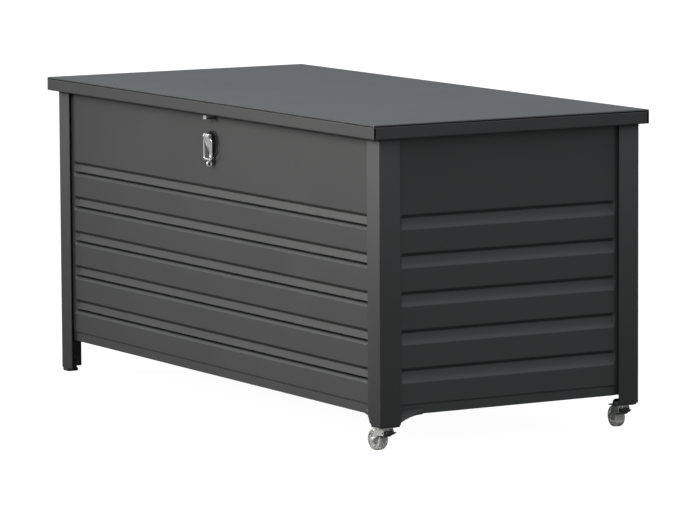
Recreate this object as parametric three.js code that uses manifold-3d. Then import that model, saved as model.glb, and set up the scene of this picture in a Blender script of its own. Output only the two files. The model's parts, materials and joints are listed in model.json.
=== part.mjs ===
// Deck storage box of folded and painted sheet steel: a ribbed body on corner posts, a hinged lid held
// by two gas struts, a toggle latch at the front, and two braked castors under the right end.
// Millimetres, +Z up. The origin is on the floor under the middle of the lid; the latch faces -Y.
import * as THREE from "three";
import { mergeVertices } from "three/addons/utils/BufferGeometryUtils.js";
import Module from "manifold-3d";

const wasm = await Module();
wasm.setup();

// ---------------------------------------------------------------- driving sizes
const LENGTH = 1360; // lid, along X
const DEPTH = 624; // lid, along Y
const HEIGHT = 630; // floor to the top of the lid
const SHEET = 1.2; // lid and floor sheet
const WALL = 1; // wall panel sheet
const GAP = 0.3; // between pieces that touch
const SKIRT = 28; // height of the lid's folded edge
const BEND = 2.5; // outer radius of a fold
const END_OVERHANG = 14; // lid past the posts at both ends
const FRONT_OVERHANG = 19.5;
const BACK_OVERHANG = 14.5;

const POST_LEG = 46; // width of each leg of a corner post
const POST_SHEET = 1.5;
const POST_TOP = 620;
const RECESS = 8; // wall panels sit this far behind the posts' faces
const PANEL_BOTTOM = 68.5;
const PANEL_TOP = 616;
const RIM = 18; // flanges along the panels' upper and lower edges

const RIB_COUNT = 5;
const FIRST_RIB = 452.5; // upper edge of the highest groove
const RIB_PITCH = 73.7;
const GROOVE_CLEAR = 4; // groove ends to the post's edge
const GROOVE_RUNOUT = 6; // length over which a groove ends

const LID_INSIDE = HEIGHT - SHEET; // underside of the lid sheet
const SKIRT_BOTTOM = HEIGHT - SKIRT;
const RIGHT = LENGTH / 2 - END_OVERHANG; // outer face of the right-hand posts
const FRONT = -DEPTH / 2 + FRONT_OVERHANG; // outer face of the front posts
const BACK = DEPTH / 2 - BACK_OVERHANG;
const FRONT_PANEL = FRONT + RECESS; // outer face of the front wall panel
const BACK_PANEL = BACK - RECESS;
const END_PANEL = RIGHT - RECESS;

const FOOT_HEIGHT = 7; // plastic foot showing under a left-hand post
const CASTOR_CLEARANCE = 51.5; // right-hand posts end this far above the floor
const PAN_DEPTH = 9; // pressed mounting pan above each castor
const PAN_FLOOR = 3;

const FLOOR_RAIL_HEIGHT = 16;
const HINGE_XS = [-460, 0, 460];
const HINGE_Y = BACK_PANEL + 6.3; // hinge line, just behind the back panel
const HINGE_Z = SKIRT_BOTTOM - 6;

// ---------------------------------------------------------------- materials
const paint = (color, roughness) =>
  new THREE.MeshStandardMaterial({ color, roughness, metalness: 0.1 });
const anthracite = paint(0x3c3f40, 0.5);
const inside = paint(0x3a3c3d, 0.6);
const chrome = new THREE.MeshStandardMaterial({
  color: 0xd6d8da,
  roughness: 0.15,
  metalness: 1,
});
const zinc = new THREE.MeshStandardMaterial({
  color: 0xb4b6b5,
  roughness: 0.35,
  metalness: 1,
});
const blackTube = paint(0x161616, 0.35);
const blackPlastic = paint(0x1b1b1b, 0.7);
const rubber = paint(0x202020, 0.9);
const clearGrey = new THREE.MeshStandardMaterial({
  color: 0xb5b6ae,
  roughness: 0.35,
  metalness: 0,
});

// ---------------------------------------------------------------- shapes and solids
function block(x0, x1, y0, y1, z0, z1) {
  const shape = new THREE.BoxGeometry(x1 - x0, y1 - y0, z1 - z0);
  return shape.translate((x0 + x1) / 2, (y0 + y1) / 2, (z0 + z1) / 2);
}

// An outline of [x, y] points as a THREE.Shape.
function outline(points) {
  return new THREE.Shape(points.map(([x, y]) => new THREE.Vector2(x, y)));
}

function extrude(shape, depth) {
  return new THREE.ExtrudeGeometry(shape, { depth, bevelEnabled: false, curveSegments: 5 });
}

// Shape drawn in the XZ plane, from y0 to y1.
function extrudeAlongY(shape, y0, y1) {
  return extrude(shape, y1 - y0).rotateX(Math.PI / 2).translate(0, y1, 0);
}

// Shape drawn in the YZ plane, from x0 to x1.
function extrudeAlongX(shape, x0, x1) {
  return extrude(shape, x1 - x0).rotateX(Math.PI / 2).rotateZ(Math.PI / 2).translate(x0, 0, 0);
}

// Shape drawn in the XY plane, from z0 to z1.
function extrudeAlongZ(shape, z0, z1) {
  return extrude(shape, z1 - z0).translate(0, 0, z0);
}

function cylinder(radius, length, sides = 20) {
  return new THREE.CylinderGeometry(radius, radius, length, sides);
}

const cylinderX = (radius, x0, x1, y, z, sides) =>
  cylinder(radius, x1 - x0, sides).rotateZ(Math.PI / 2).translate((x0 + x1) / 2, y, z);
const cylinderY = (radius, x, y0, y1, z, sides) =>
  cylinder(radius, y1 - y0, sides).translate(x, (y0 + y1) / 2, z);
const cylinderZ = (radius, x, y, z0, z1, sides) =>
  cylinder(radius, z1 - z0, sides).rotateX(Math.PI / 2).translate(x, y, (z0 + z1) / 2);

// A closed geometry as a manifold solid.
function solid(geometry) {
  const bare = geometry.clone();
  bare.deleteAttribute("normal");
  bare.deleteAttribute("uv");
  const merged = mergeVertices(bare, 1e-4);
  return new wasm.Manifold(
    new wasm.Mesh({
      numProp: 3,
      vertProperties: merged.attributes.position.array,
      triVerts: new Uint32Array(merged.index.array),
    }),
  );
}

const join = (...geometries) =>
  geometries.map(solid).reduce((whole, piece) => whole.add(piece));

function cut(whole, ...geometries) {
  return geometries.map(solid).reduce((rest, piece) => rest.subtract(piece), whole);
}

function geometryOf(manifold) {
  const { vertProperties, triVerts } = manifold.getMesh();
  const geometry = new THREE.BufferGeometry();
  geometry.setAttribute("position", new THREE.BufferAttribute(vertProperties, 3));
  geometry.setIndex(new THREE.BufferAttribute(triVerts, 1));
  return geometry;
}

function part(name, shape, material) {
  const geometry = shape.isBufferGeometry ? shape : geometryOf(shape);
  const mesh = new THREE.Mesh(geometry, material);
  mesh.name = name;
  return mesh;
}

function group(...children) {
  const made = new THREE.Group();
  made.add(...children);
  return made;
}

// ---------------------------------------------------------------- posts, feet and castor pans
// An angle with its outer corner at the origin and its legs along +X and +Y.
function postOutline() {
  const shape = new THREE.Shape();
  shape.moveTo(BEND, 0);
  shape.lineTo(POST_LEG, 0);
  shape.lineTo(POST_LEG, POST_SHEET);
  shape.lineTo(BEND, POST_SHEET);
  shape.lineTo(POST_SHEET, BEND);
  shape.lineTo(POST_SHEET, POST_LEG);
  shape.lineTo(0, POST_LEG);
  shape.lineTo(0, BEND);
  shape.absarc(BEND, BEND, BEND, Math.PI, 1.5 * Math.PI, false);
  return shape;
}

const TAPER_HEIGHT = 16; // the front and back legs of a castor post narrow over this height
const TAPER_WIDTH = 9;

function castorPost() {
  const reach = POST_LEG + 1;
  const wedge = outline([
    [reach, CASTOR_CLEARANCE - 1],
    [reach, CASTOR_CLEARANCE + TAPER_HEIGHT],
    [POST_LEG - TAPER_WIDTH, CASTOR_CLEARANCE - 1],
  ]);
  const angle = solid(extrudeAlongZ(postOutline(), CASTOR_CLEARANCE, POST_TOP));
  return cut(angle, extrudeAlongY(wedge, -1, POST_SHEET + 0.5));
}

function footPost() {
  return extrudeAlongZ(postOutline(), FOOT_HEIGHT, POST_TOP);
}

// A square with round corners whose nearest corner to the origin is at [offset, offset].
function roundedSquare(offset, side, radius) {
  const near = offset + radius;
  const far = offset + side - radius;
  const shape = new THREE.Shape();
  shape.moveTo(near, offset);
  shape.absarc(far, near, radius, -Math.PI / 2, 0, false);
  shape.absarc(far, far, radius, 0, Math.PI / 2, false);
  shape.absarc(near, far, radius, Math.PI / 2, Math.PI, false);
  shape.absarc(near, near, radius, Math.PI, 1.5 * Math.PI, false);
  return shape;
}

const FOOT_SIDE = 27;
const FOOT_RADIUS = 6;
const PLUG_HEIGHT = 30;

// A plastic foot: a cap under the post's end and a plug that stands in the angle.
function foot() {
  const clear = POST_SHEET + GAP;
  const capTop = FOOT_HEIGHT - GAP;
  const chamfer = 1.5;
  const sole = roundedSquare(chamfer, FOOT_SIDE - 2 * chamfer, FOOT_RADIUS - chamfer);
  const cap = roundedSquare(0, FOOT_SIDE, FOOT_RADIUS);
  const plug = roundedSquare(clear, FOOT_SIDE - clear - 1, FOOT_RADIUS - 1);
  return join(
    extrudeAlongZ(sole, 0, chamfer + 0.1),
    extrudeAlongZ(cap, chamfer, capTop),
    extrudeAlongZ(plug, capTop - 0.1, PLUG_HEIGHT),
  );
}

const PAN_REACH_X = POST_LEG - TAPER_WIDTH;
const PAN_CORNER_X = 12; // the pan's inner end slants from here
const PAN_CORNER_Y = 32;
const PAN_WALL = 1.6;

// A pressed pan in the post's corner that the castor is screwed to.
function castorPan(reachY) {
  const clear = POST_SHEET + GAP;
  const bottom = CASTOR_CLEARANCE - PAN_FLOOR - GAP;
  const pan = outline([
    [clear + BEND, clear],
    [PAN_REACH_X, clear],
    [PAN_REACH_X, PAN_CORNER_Y],
    [PAN_CORNER_X, reachY],
    [clear, reachY],
    [clear, clear + BEND],
  ]);
  const hollow = outline([
    [clear + PAN_WALL, clear + PAN_WALL],
    [PAN_REACH_X - PAN_WALL, clear + PAN_WALL],
    [PAN_REACH_X - PAN_WALL, PAN_CORNER_Y - 1],
    [PAN_CORNER_X, reachY - PAN_WALL - 0.4],
    [clear + PAN_WALL, reachY - PAN_WALL - 0.4],
  ]);
  return cut(
    solid(extrudeAlongZ(pan, bottom, bottom + PAN_DEPTH)),
    extrudeAlongZ(hollow, bottom + PAN_FLOOR, bottom + PAN_DEPTH + 1),
  );
}

const CORNERS = [
  { name: "front_left", x: -RIGHT, y: FRONT, sx: 1, sy: 1 },
  { name: "back_left", x: -RIGHT, y: BACK, sx: 1, sy: -1 },
  { name: "front_right", x: RIGHT, y: FRONT, sx: -1, sy: 1, panReach: POST_LEG - 1 },
  { name: "back_right", x: RIGHT, y: BACK, sx: -1, sy: -1, panReach: POST_LEG + 7 },
];

// A corner is drawn with its outer edge on the Z axis and its legs along +X and +Y, then mirrored into
// place. The right-hand posts carry castors, and the others have feet.
function corner({ name, x, y, sx, sy, panReach }) {
  const made = panReach
    ? group(
        part("post_" + name, castorPost(), anthracite),
        part("castor_pan_" + name, castorPan(panReach), anthracite),
      )
    : group(
        part("post_" + name, footPost(), anthracite),
        part("foot_" + name, foot(), blackPlastic),
      );
  made.position.set(x, y, 0);
  made.scale.set(sx, sy, 1);
  return made;
}

// A gusset's curved outline, from the post's edge at 0 out to its reach along the panel's lower edge.
function gussetOutline(reach, low) {
  const lower = PANEL_BOTTOM - 0.5;
  const upper = PANEL_BOTTOM + 10;
  const shape = new THREE.Shape();
  shape.moveTo(0, low);
  shape.bezierCurveTo(reach * 0.2, low + 6, reach * 0.5, lower, reach, lower);
  shape.lineTo(reach, upper);
  shape.lineTo(0, upper);
  return shape;
}

// The curved gussets beside the front castor post: a long one at the end and a short one at the front.
function gussets() {
  const start = POST_LEG + GAP;
  const longShape = extrudeAlongX(gussetOutline(52, CASTOR_CLEARANCE + 1.5), 0, POST_SHEET);
  const long = part("gusset_end_side", longShape, anthracite);
  long.position.set(END_PANEL + GAP, FRONT + start, 0);
  const shortShape = extrudeAlongY(gussetOutline(20, CASTOR_CLEARANCE + 8), 0, POST_SHEET);
  const short = part("gusset_latch_side", shortShape, anthracite);
  short.position.set(RIGHT - start, FRONT_PANEL - GAP, 0);
  short.rotation.z = Math.PI;
  return group(long, short);
}

// ---------------------------------------------------------------- wall panels
// How deep the pressed grooves lie behind the panel's face, by height below a groove's upper edge.
const GROOVE = [
  [-0.8, 0],
  [2.2, 6.2],
  [4.5, 7],
  [18, 6],
  [20.5, 7.4],
  [25.8, 0.5],
  [27.4, 0],
];
const FOOT_STEP = 2; // the panel steps back by this much near its lower edge

// The panel's section from the bottom up: height, depth in the ribbed field, depth at its plain ends.
function panelRows() {
  const rows = [
    [PANEL_BOTTOM, FOOT_STEP, FOOT_STEP],
    [PANEL_BOTTOM + 18, FOOT_STEP, FOOT_STEP],
    [PANEL_BOTTOM + 21, 0, 0],
  ];
  for (let rib = RIB_COUNT - 1; rib >= 0; rib -= 1) {
    const top = FIRST_RIB - rib * RIB_PITCH;
    for (const [down, depth] of [...GROOVE].reverse()) rows.push([top - down, depth, 0]);
  }
  rows.push([PANEL_TOP, 0, 0]);
  return rows;
}

// Moves a section's points inwards by the sheet thickness.
function insideOf(section) {
  return section.map(([z, depth], i) => {
    const before = section[Math.max(i - 1, 0)];
    const after = section[Math.min(i + 1, section.length - 1)];
    const dz = after[0] - before[0];
    const dd = after[1] - before[1];
    const length = Math.hypot(dz, dd);
    return [z - (dd / length) * WALL, depth + (dz / length) * WALL];
  });
}

// The ribbed field of a wall panel in the XZ plane, centred on X, with its face towards -Y at y = 0.
// Each groove dies out towards the ends of the field.
function ribbedField(width) {
  const rows = panelRows();
  const plain = rows.map(([z, , depth]) => [z, depth]);
  const ribbed = rows.map(([z, depth]) => [z, depth]);
  const half = width / 2;
  const columns = [
    [-half, plain],
    [-half + GROOVE_RUNOUT, ribbed],
    [half - GROOVE_RUNOUT, ribbed],
    [half, plain],
  ];
  const positions = [];
  for (const side of [(section) => section, insideOf]) {
    for (const [x, section] of columns) {
      for (const [z, depth] of side(section)) positions.push(x, depth, z);
    }
  }
  const perColumn = rows.length;
  const perSide = perColumn * columns.length;
  const triangles = [];
  const quad = (a, b, c, d) => triangles.push(a, b, c, a, c, d);
  for (let i = 0; i + 1 < columns.length; i += 1) {
    const low = i * perColumn;
    const high = low + perColumn - 1;
    for (let a = low; a < high; a += 1) {
      const b = a + perColumn;
      quad(a, b, b + 1, a + 1);
      quad(perSide + a, perSide + a + 1, perSide + b + 1, perSide + b);
    }
    quad(low, perSide + low, perSide + low + perColumn, low + perColumn);
    quad(high, high + perColumn, perSide + high + perColumn, perSide + high);
  }
  for (let j = 0; j + 1 < perColumn; j += 1) {
    const last = (columns.length - 1) * perColumn + j;
    quad(j, j + 1, perSide + j + 1, perSide + j);
    quad(last, perSide + last, perSide + last + 1, last + 1);
  }
  const geometry = new THREE.BufferGeometry();
  geometry.setAttribute("position", new THREE.Float32BufferAttribute(positions, 3));
  geometry.setIndex(triangles);
  return geometry;
}

// The plain strip at one end of a panel, folded forward so that its edge lies behind the post.
function edgeStrip(side, fieldHalf, postEdge, end) {
  const fold = RECESS - POST_SHEET - WALL - GAP * 1.5;
  const plan = [
    [fieldHalf, 0],
    [postEdge, 0],
    [postEdge + 3, -fold],
    [end, -fold],
    [end, WALL - fold],
    [postEdge + 3 + 0.5 * WALL, WALL - fold],
    [postEdge + 0.5 * WALL, WALL],
    [fieldHalf, WALL],
  ].map(([x, y]) => [side * x, y]);
  return extrudeAlongZ(outline(plan), PANEL_BOTTOM, PANEL_TOP);
}

// A wall panel of the given width that shows betweenPosts of it.
function wallPanel(name, width, betweenPosts) {
  const half = betweenPosts / 2 - GROOVE_CLEAR;
  const pieces = [
    ribbedField(2 * half),
    edgeStrip(-1, half, betweenPosts / 2, width / 2),
    edgeStrip(1, half, betweenPosts / 2, width / 2),
    block(-half, half, 0.1, RIM, PANEL_TOP - WALL, PANEL_TOP),
    block(-half, half, FOOT_STEP + 0.1, RIM, PANEL_BOTTOM, PANEL_BOTTOM + WALL),
  ];
  return part(name, join(...pieces), anthracite);
}

function walls() {
  const frontField = 2 * (RIGHT - POST_LEG) + 1;
  const endField = BACK - FRONT - 2 * POST_LEG + 1;
  const front = wallPanel("front_panel", 2 * RIGHT - 16, frontField);
  front.position.y = FRONT_PANEL;
  const back = wallPanel("back_panel", 2 * RIGHT - 16, frontField);
  back.position.y = BACK_PANEL;
  back.rotation.z = Math.PI;
  const right = wallPanel("right_end_panel", BACK - FRONT - 9, endField);
  right.position.set(END_PANEL, (FRONT + BACK) / 2, 0);
  right.rotation.z = Math.PI / 2;
  const left = wallPanel("left_end_panel", BACK - FRONT - 9, endField);
  left.position.set(-END_PANEL, (FRONT + BACK) / 2, 0);
  left.rotation.z = -Math.PI / 2;
  return group(front, back, right, left);
}

// ---------------------------------------------------------------- floor
const RAIL_BOTTOM = PANEL_BOTTOM + WALL + GAP;
const FLOOR_BOTTOM = RAIL_BOTTOM + FLOOR_RAIL_HEIGHT + GAP;
const RAIL_XS = [-420, 0, 420];

// A hat-section rail under the floor, from the front panel's rim to the back panel's.
function floorRail(name, x) {
  const top = FLOOR_RAIL_HEIGHT;
  const hat = outline([
    [-34, 0],
    [-18, 0],
    [-14, top - 1.5],
    [14, top - 1.5],
    [18, 0],
    [34, 0],
    [34, 1.5],
    [19, 1.5],
    [15, top],
    [-15, top],
    [-19, 1.5],
    [-34, 1.5],
  ]);
  const rail = part(name, extrudeAlongY(hat, FRONT_PANEL + 5, BACK_PANEL - 5), inside);
  rail.position.set(x, 0, RAIL_BOTTOM);
  return rail;
}

function floor() {
  const clear = WALL + 4;
  const sheet = block(
    -END_PANEL + clear,
    END_PANEL - clear,
    FRONT_PANEL + clear + FOOT_STEP,
    BACK_PANEL - clear - FOOT_STEP,
    FLOOR_BOTTOM,
    FLOOR_BOTTOM + SHEET,
  );
  const rails = RAIL_XS.map((x, i) => floorRail("floor_rail_" + (i + 1), x));
  return group(part("floor_sheet", sheet, inside), ...rails);
}

// ---------------------------------------------------------------- lid
// A slab with its upper edges folded round, from the skirt's lower edge up.
function foldedSlab(inset, bottom) {
  const top = HEIGHT - inset;
  const radius = BEND - inset;
  const section = (half) => {
    const shape = new THREE.Shape();
    shape.moveTo(-half, bottom);
    shape.lineTo(half, bottom);
    shape.lineTo(half, top - radius);
    shape.absarc(half - radius, top - radius, radius, 0, Math.PI / 2, false);
    shape.lineTo(-half + radius, top);
    shape.absarc(-half + radius, top - radius, radius, Math.PI / 2, Math.PI, false);
    return shape;
  };
  const halfX = LENGTH / 2 - inset;
  const halfY = DEPTH / 2 - inset;
  const along = solid(extrudeAlongX(section(halfY), -halfX, halfX));
  return along.intersect(solid(extrudeAlongY(section(halfX), -halfY, halfY)));
}

const HEM = 7; // the skirt's lower edge is turned in by this much
const HEM_BREAK = 26; // half the gap in the front hem, for the catch
const SEAM = 1.6; // open joint where two skirts meet

function lidSkin() {
  const hemTop = SKIRT_BOTTOM + SHEET;
  const innerX = LENGTH / 2 - SHEET + 0.1;
  const innerY = DEPTH / 2 - SHEET + 0.1;
  const hems = [
    block(-innerX + 8, -HEM_BREAK, -innerY, -innerY + HEM, SKIRT_BOTTOM, hemTop),
    block(HEM_BREAK, innerX - 8, -innerY, -innerY + HEM, SKIRT_BOTTOM, hemTop),
    block(-innerX + 8, innerX - 8, innerY - HEM, innerY, SKIRT_BOTTOM, hemTop),
    block(-innerX, -innerX + HEM - 1, -innerY + 8, innerY - 8, SKIRT_BOTTOM, hemTop),
    block(innerX - HEM + 1, innerX, -innerY + 8, innerY - 8, SKIRT_BOTTOM, hemTop),
  ];
  const shell = foldedSlab(0, SKIRT_BOTTOM).subtract(foldedSlab(SHEET, SKIRT_BOTTOM - 1));
  const skin = hems.map(solid).reduce((whole, hem) => whole.add(hem), shell);
  const seams = [];
  for (const sx of [-1, 1]) {
    for (const sy of [-1, 1]) {
      const x = sx * (LENGTH / 2);
      const y = sy * (DEPTH / 2 - SHEET - SEAM / 2);
      seams.push(
        block(x - 2, x + 2, y - SEAM / 2, y + SEAM / 2, SKIRT_BOTTOM - 1, HEIGHT - BEND - 0.5),
      );
    }
  }
  return part("lid_skin", cut(skin, ...seams), anthracite);
}

const LID_RIB_DEPTH = 13.5;
const LID_RIB_XS = [-400, 0, 400];

function lidRib(name, x) {
  const rib = outline([
    [-32, 0],
    [-32, -1],
    [-19, -1],
    [-15, -LID_RIB_DEPTH],
    [15, -LID_RIB_DEPTH],
    [19, -1],
    [32, -1],
    [32, 0],
    [18, 0],
    [14, -LID_RIB_DEPTH + 1],
    [-14, -LID_RIB_DEPTH + 1],
    [-18, 0],
  ]);
  const reach = DEPTH / 2 - 57;
  const made = part(name, extrudeAlongY(rib, -reach, reach), inside);
  made.position.set(x, 0, LID_INSIDE - GAP);
  return made;
}

// Rubber buffers between the lid and the front panel's upper rim.
function lidBuffer(name, x) {
  const top = LID_INSIDE - GAP;
  const bottom = PANEL_TOP + GAP;
  const profile = [
    [0, bottom],
    [4.5, bottom],
    [6, bottom + 2],
    [7, top - 3],
    [7, top],
    [0, top],
  ].map(([radius, z]) => new THREE.Vector2(radius, z));
  const buffer = new THREE.LatheGeometry(profile, 16).rotateX(Math.PI / 2);
  const made = part(name, buffer, rubber);
  made.position.set(x, FRONT_PANEL + 9, 0);
  return made;
}

// ---------------------------------------------------------------- hinges
const LEAF = 2;
const KNUCKLE = 5.5;
const HINGE_PIN = 2.5;
const HINGE_HALF = 38;
const KNUCKLE_SPLIT = 13; // half length of the middle knuckle, which belongs to the lid's leaf

// Both leaves are drawn about the hinge line, which lies on the X axis.
function bodyLeaf() {
  const face = BACK_PANEL + GAP - HINGE_Y;
  const leaf = block(-HINGE_HALF, HINGE_HALF, face, face + LEAF, -46, KNUCKLE * 0.4);
  const outer = [
    [-HINGE_HALF, -KNUCKLE_SPLIT - GAP],
    [KNUCKLE_SPLIT + GAP, HINGE_HALF],
  ];
  const knuckles = outer.map(([from, to]) => cylinderX(KNUCKLE, from, to, 0, 0, 18));
  const relief = cylinderX(KNUCKLE + 0.6, -KNUCKLE_SPLIT - GAP, KNUCKLE_SPLIT + GAP, 0, 0, 18);
  const bore = cylinderX(HINGE_PIN + GAP, -HINGE_HALF - 1, HINGE_HALF + 1, 0, 0, 14);
  return cut(cut(solid(leaf), relief).add(join(...knuckles)), bore);
}

function lidLeaf() {
  const top = LID_INSIDE - GAP - HINGE_Z;
  const riser = KNUCKLE - LEAF;
  const from = -KNUCKLE_SPLIT;
  const to = KNUCKLE_SPLIT;
  const knuckle = cylinderX(KNUCKLE, from, to, 0, 0, 18);
  const neck = block(from, to, riser, KNUCKLE, 0, 12);
  const plate = block(-HINGE_HALF, HINGE_HALF, riser, KNUCKLE, 11, top);
  const flange = block(-HINGE_HALF, HINGE_HALF, KNUCKLE - 34, KNUCKLE, top - LEAF, top);
  const bore = cylinderX(HINGE_PIN + GAP, from - 1, to + 1, 0, 0, 14);
  return cut(join(knuckle, neck, plate, flange), bore);
}

function hingePin() {
  const shank = cylinderX(HINGE_PIN, -HINGE_HALF - 1, HINGE_HALF + 1, 0, 0, 14);
  const head = cylinderX(HINGE_PIN + 1.5, HINGE_HALF + GAP, HINGE_HALF + 2.3, 0, 0, 14);
  return join(shank, head);
}

function hinge(number, x) {
  const made = group(
    part("hinge_body_leaf_" + number, bodyLeaf(), zinc),
    part("hinge_lid_leaf_" + number, lidLeaf(), zinc),
    part("hinge_pin_" + number, hingePin(), zinc),
  );
  made.position.set(x, HINGE_Y, HINGE_Z);
  return made;
}

// ---------------------------------------------------------------- gas struts
const STRUT_X = RIGHT - 39; // centre line of each strut, mirrored
const STRUT_FOOT = new THREE.Vector2(120, 330); // lower pivot: y, z
const STRUT_HEAD = new THREE.Vector2(150, 602); // upper pivot with the lid shut
const TUBE_RADIUS = 9;
const ROD_RADIUS = 4;
const STUD_RADIUS = 3;
const STUD_REACH = 16;
const TUBE_LENGTH = 222;

const strutLine = new THREE.Vector2().subVectors(STRUT_HEAD, STRUT_FOOT);

// Both halves are drawn along +Z from the lower pivot, with the closed length between the pivots.
function strutTube() {
  const eye = cylinderX(7, -4.5, 4.5, 0, 0, 16);
  const socket = cylinderZ(5, 0, 0, 5, 16, 14);
  const tube = cylinderZ(TUBE_RADIUS, 0, 0, 15, TUBE_LENGTH, 20);
  const bore = cylinderZ(ROD_RADIUS + GAP, 0, 0, 20, TUBE_LENGTH + 1, 14);
  const stud = cylinderX(STUD_RADIUS, -STUD_REACH, -4, 0, 0, 12);
  return cut(join(eye, socket, tube, stud), bore);
}

function strutRod() {
  const length = strutLine.length();
  const rod = cylinderZ(ROD_RADIUS, 0, 0, 40, length - 5, 14);
  const eye = cylinderX(7, -4.5, 4.5, 0, length, 16);
  const stud = cylinderX(STUD_RADIUS, 4, STUD_REACH, 0, length, 12);
  return join(rod, eye, stud);
}

// Local +X points to the middle of the box on both sides, so the right strut is mirrored.
function strut(side, sign) {
  const made = group(
    part("strut_tube_" + side, strutTube(), blackTube),
    part("strut_rod_" + side, strutRod(), zinc),
  );
  made.position.set(sign * STRUT_X, STRUT_FOOT.x, STRUT_FOOT.y);
  made.scale.x = -sign;
  made.rotation.x = -Math.atan2(strutLine.x, strutLine.y);
  return made;
}

// The lower bracket stands on the end panel's inner face, just clear of the stud's end.
function strutBodyBracket(side, sign) {
  const wall = END_PANEL - WALL - GAP - STRUT_X;
  const near = STUD_REACH + GAP;
  const plate = block(near, near + 2, -22, 22, -16, 16);
  const pads = [
    block(near + 1, wall, -22, -14, -16, 16),
    block(near + 1, wall, 14, 22, -16, 16),
  ];
  const made = part("strut_body_bracket_" + side, join(plate, ...pads), zinc);
  made.position.set(sign * STRUT_X, STRUT_FOOT.x, STRUT_FOOT.y);
  made.scale.x = sign;
  return made;
}

// The upper bracket hangs from the lid on the other side of the rod's eye.
function strutLidBracket(side, sign) {
  const top = LID_INSIDE - GAP - STRUT_HEAD.y;
  const near = STUD_REACH + GAP;
  const plate = block(near, near + 2, -18, 18, -9, top);
  const flange = block(near + 1, near + 16, -18, 18, top - 2, top);
  const made = part("strut_lid_bracket_" + side, join(plate, flange), zinc);
  made.position.set(sign * STRUT_X, STRUT_HEAD.x, STRUT_HEAD.y);
  made.scale.x = -sign;
  return made;
}

// ---------------------------------------------------------------- latch
const LEVER_PIN = new THREE.Vector2(FRONT_PANEL - 13, 556); // y, z
const BAIL_PIN = new THREE.Vector2(FRONT_PANEL - 12, LEVER_PIN.y - 7);
const BAIL_LENGTH = 40; // from its pivot to the middle of the wire at the closed end
const BAIL_HALF = 15.5;
const BAIL_TIP = 8; // the bail's ends turn in to here
const WIRE = 1.9; // radius
const LEVER_HALF = 11;
const LEVER_TIP = LEVER_PIN.y - 45;
const LEVER_TIP_HALF = 4;
const EAR_INNER = 4;
const EAR_OUTER = 6;
const EAR_REACH = 17; // the lever is slotted to this radius for the ears
const BASE_FRONT = FRONT_PANEL - GAP - 1.5;
const BASE_HALF = 12;
const BASE_TOP = LEVER_PIN.y + 11;
const BASE_BOTTOM = 497;
const BASE_CORNER = 6;
const EYE_RING = 4.2; // padlock eye at the base's lower end
const EYE_WIRE = 1.4;

function latchBase() {
  const shoulder = BASE_TOP - BASE_CORNER;
  const shape = new THREE.Shape();
  shape.moveTo(-7, BASE_BOTTOM);
  shape.lineTo(7, BASE_BOTTOM);
  shape.lineTo(10, BASE_BOTTOM + 9);
  shape.lineTo(BASE_HALF, shoulder);
  shape.absarc(BASE_HALF - BASE_CORNER, shoulder, BASE_CORNER, 0, Math.PI / 2, false);
  shape.absarc(BASE_CORNER - BASE_HALF, shoulder, BASE_CORNER, Math.PI / 2, Math.PI, false);
  shape.lineTo(-10, BASE_BOTTOM + 9);
  const plate = extrudeAlongY(shape, BASE_FRONT, FRONT_PANEL - GAP);
  const ear = outline([
    [BASE_FRONT + 0.5, LEVER_PIN.y + 8],
    [BASE_FRONT + 0.5, LEVER_PIN.y - 12],
    [LEVER_PIN.x, LEVER_PIN.y - 4],
    [LEVER_PIN.x - 4, LEVER_PIN.y - 2],
    [LEVER_PIN.x - 4, LEVER_PIN.y + 3],
    [LEVER_PIN.x, LEVER_PIN.y + 5],
  ].reverse());
  const ears = [
    extrudeAlongX(ear, -EAR_OUTER, -EAR_INNER),
    extrudeAlongX(ear, EAR_INNER, EAR_OUTER),
  ];
  const holes = [
    cylinderX(2.3, -EAR_OUTER - 1, EAR_OUTER + 1, LEVER_PIN.x, LEVER_PIN.y, 14),
    cylinderY(2.2, 0, BASE_FRONT - 1, FRONT_PANEL, shoulder, 14),
  ];
  const eye = new THREE.TorusGeometry(EYE_RING, EYE_WIRE, 6, 16);
  eye.rotateY(Math.PI / 2).translate(0, BASE_FRONT - EYE_RING - 0.3, BASE_BOTTOM + EYE_RING);
  return part("latch_base", cut(join(plate, ...ears, eye), ...holes), blackTube);
}

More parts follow.
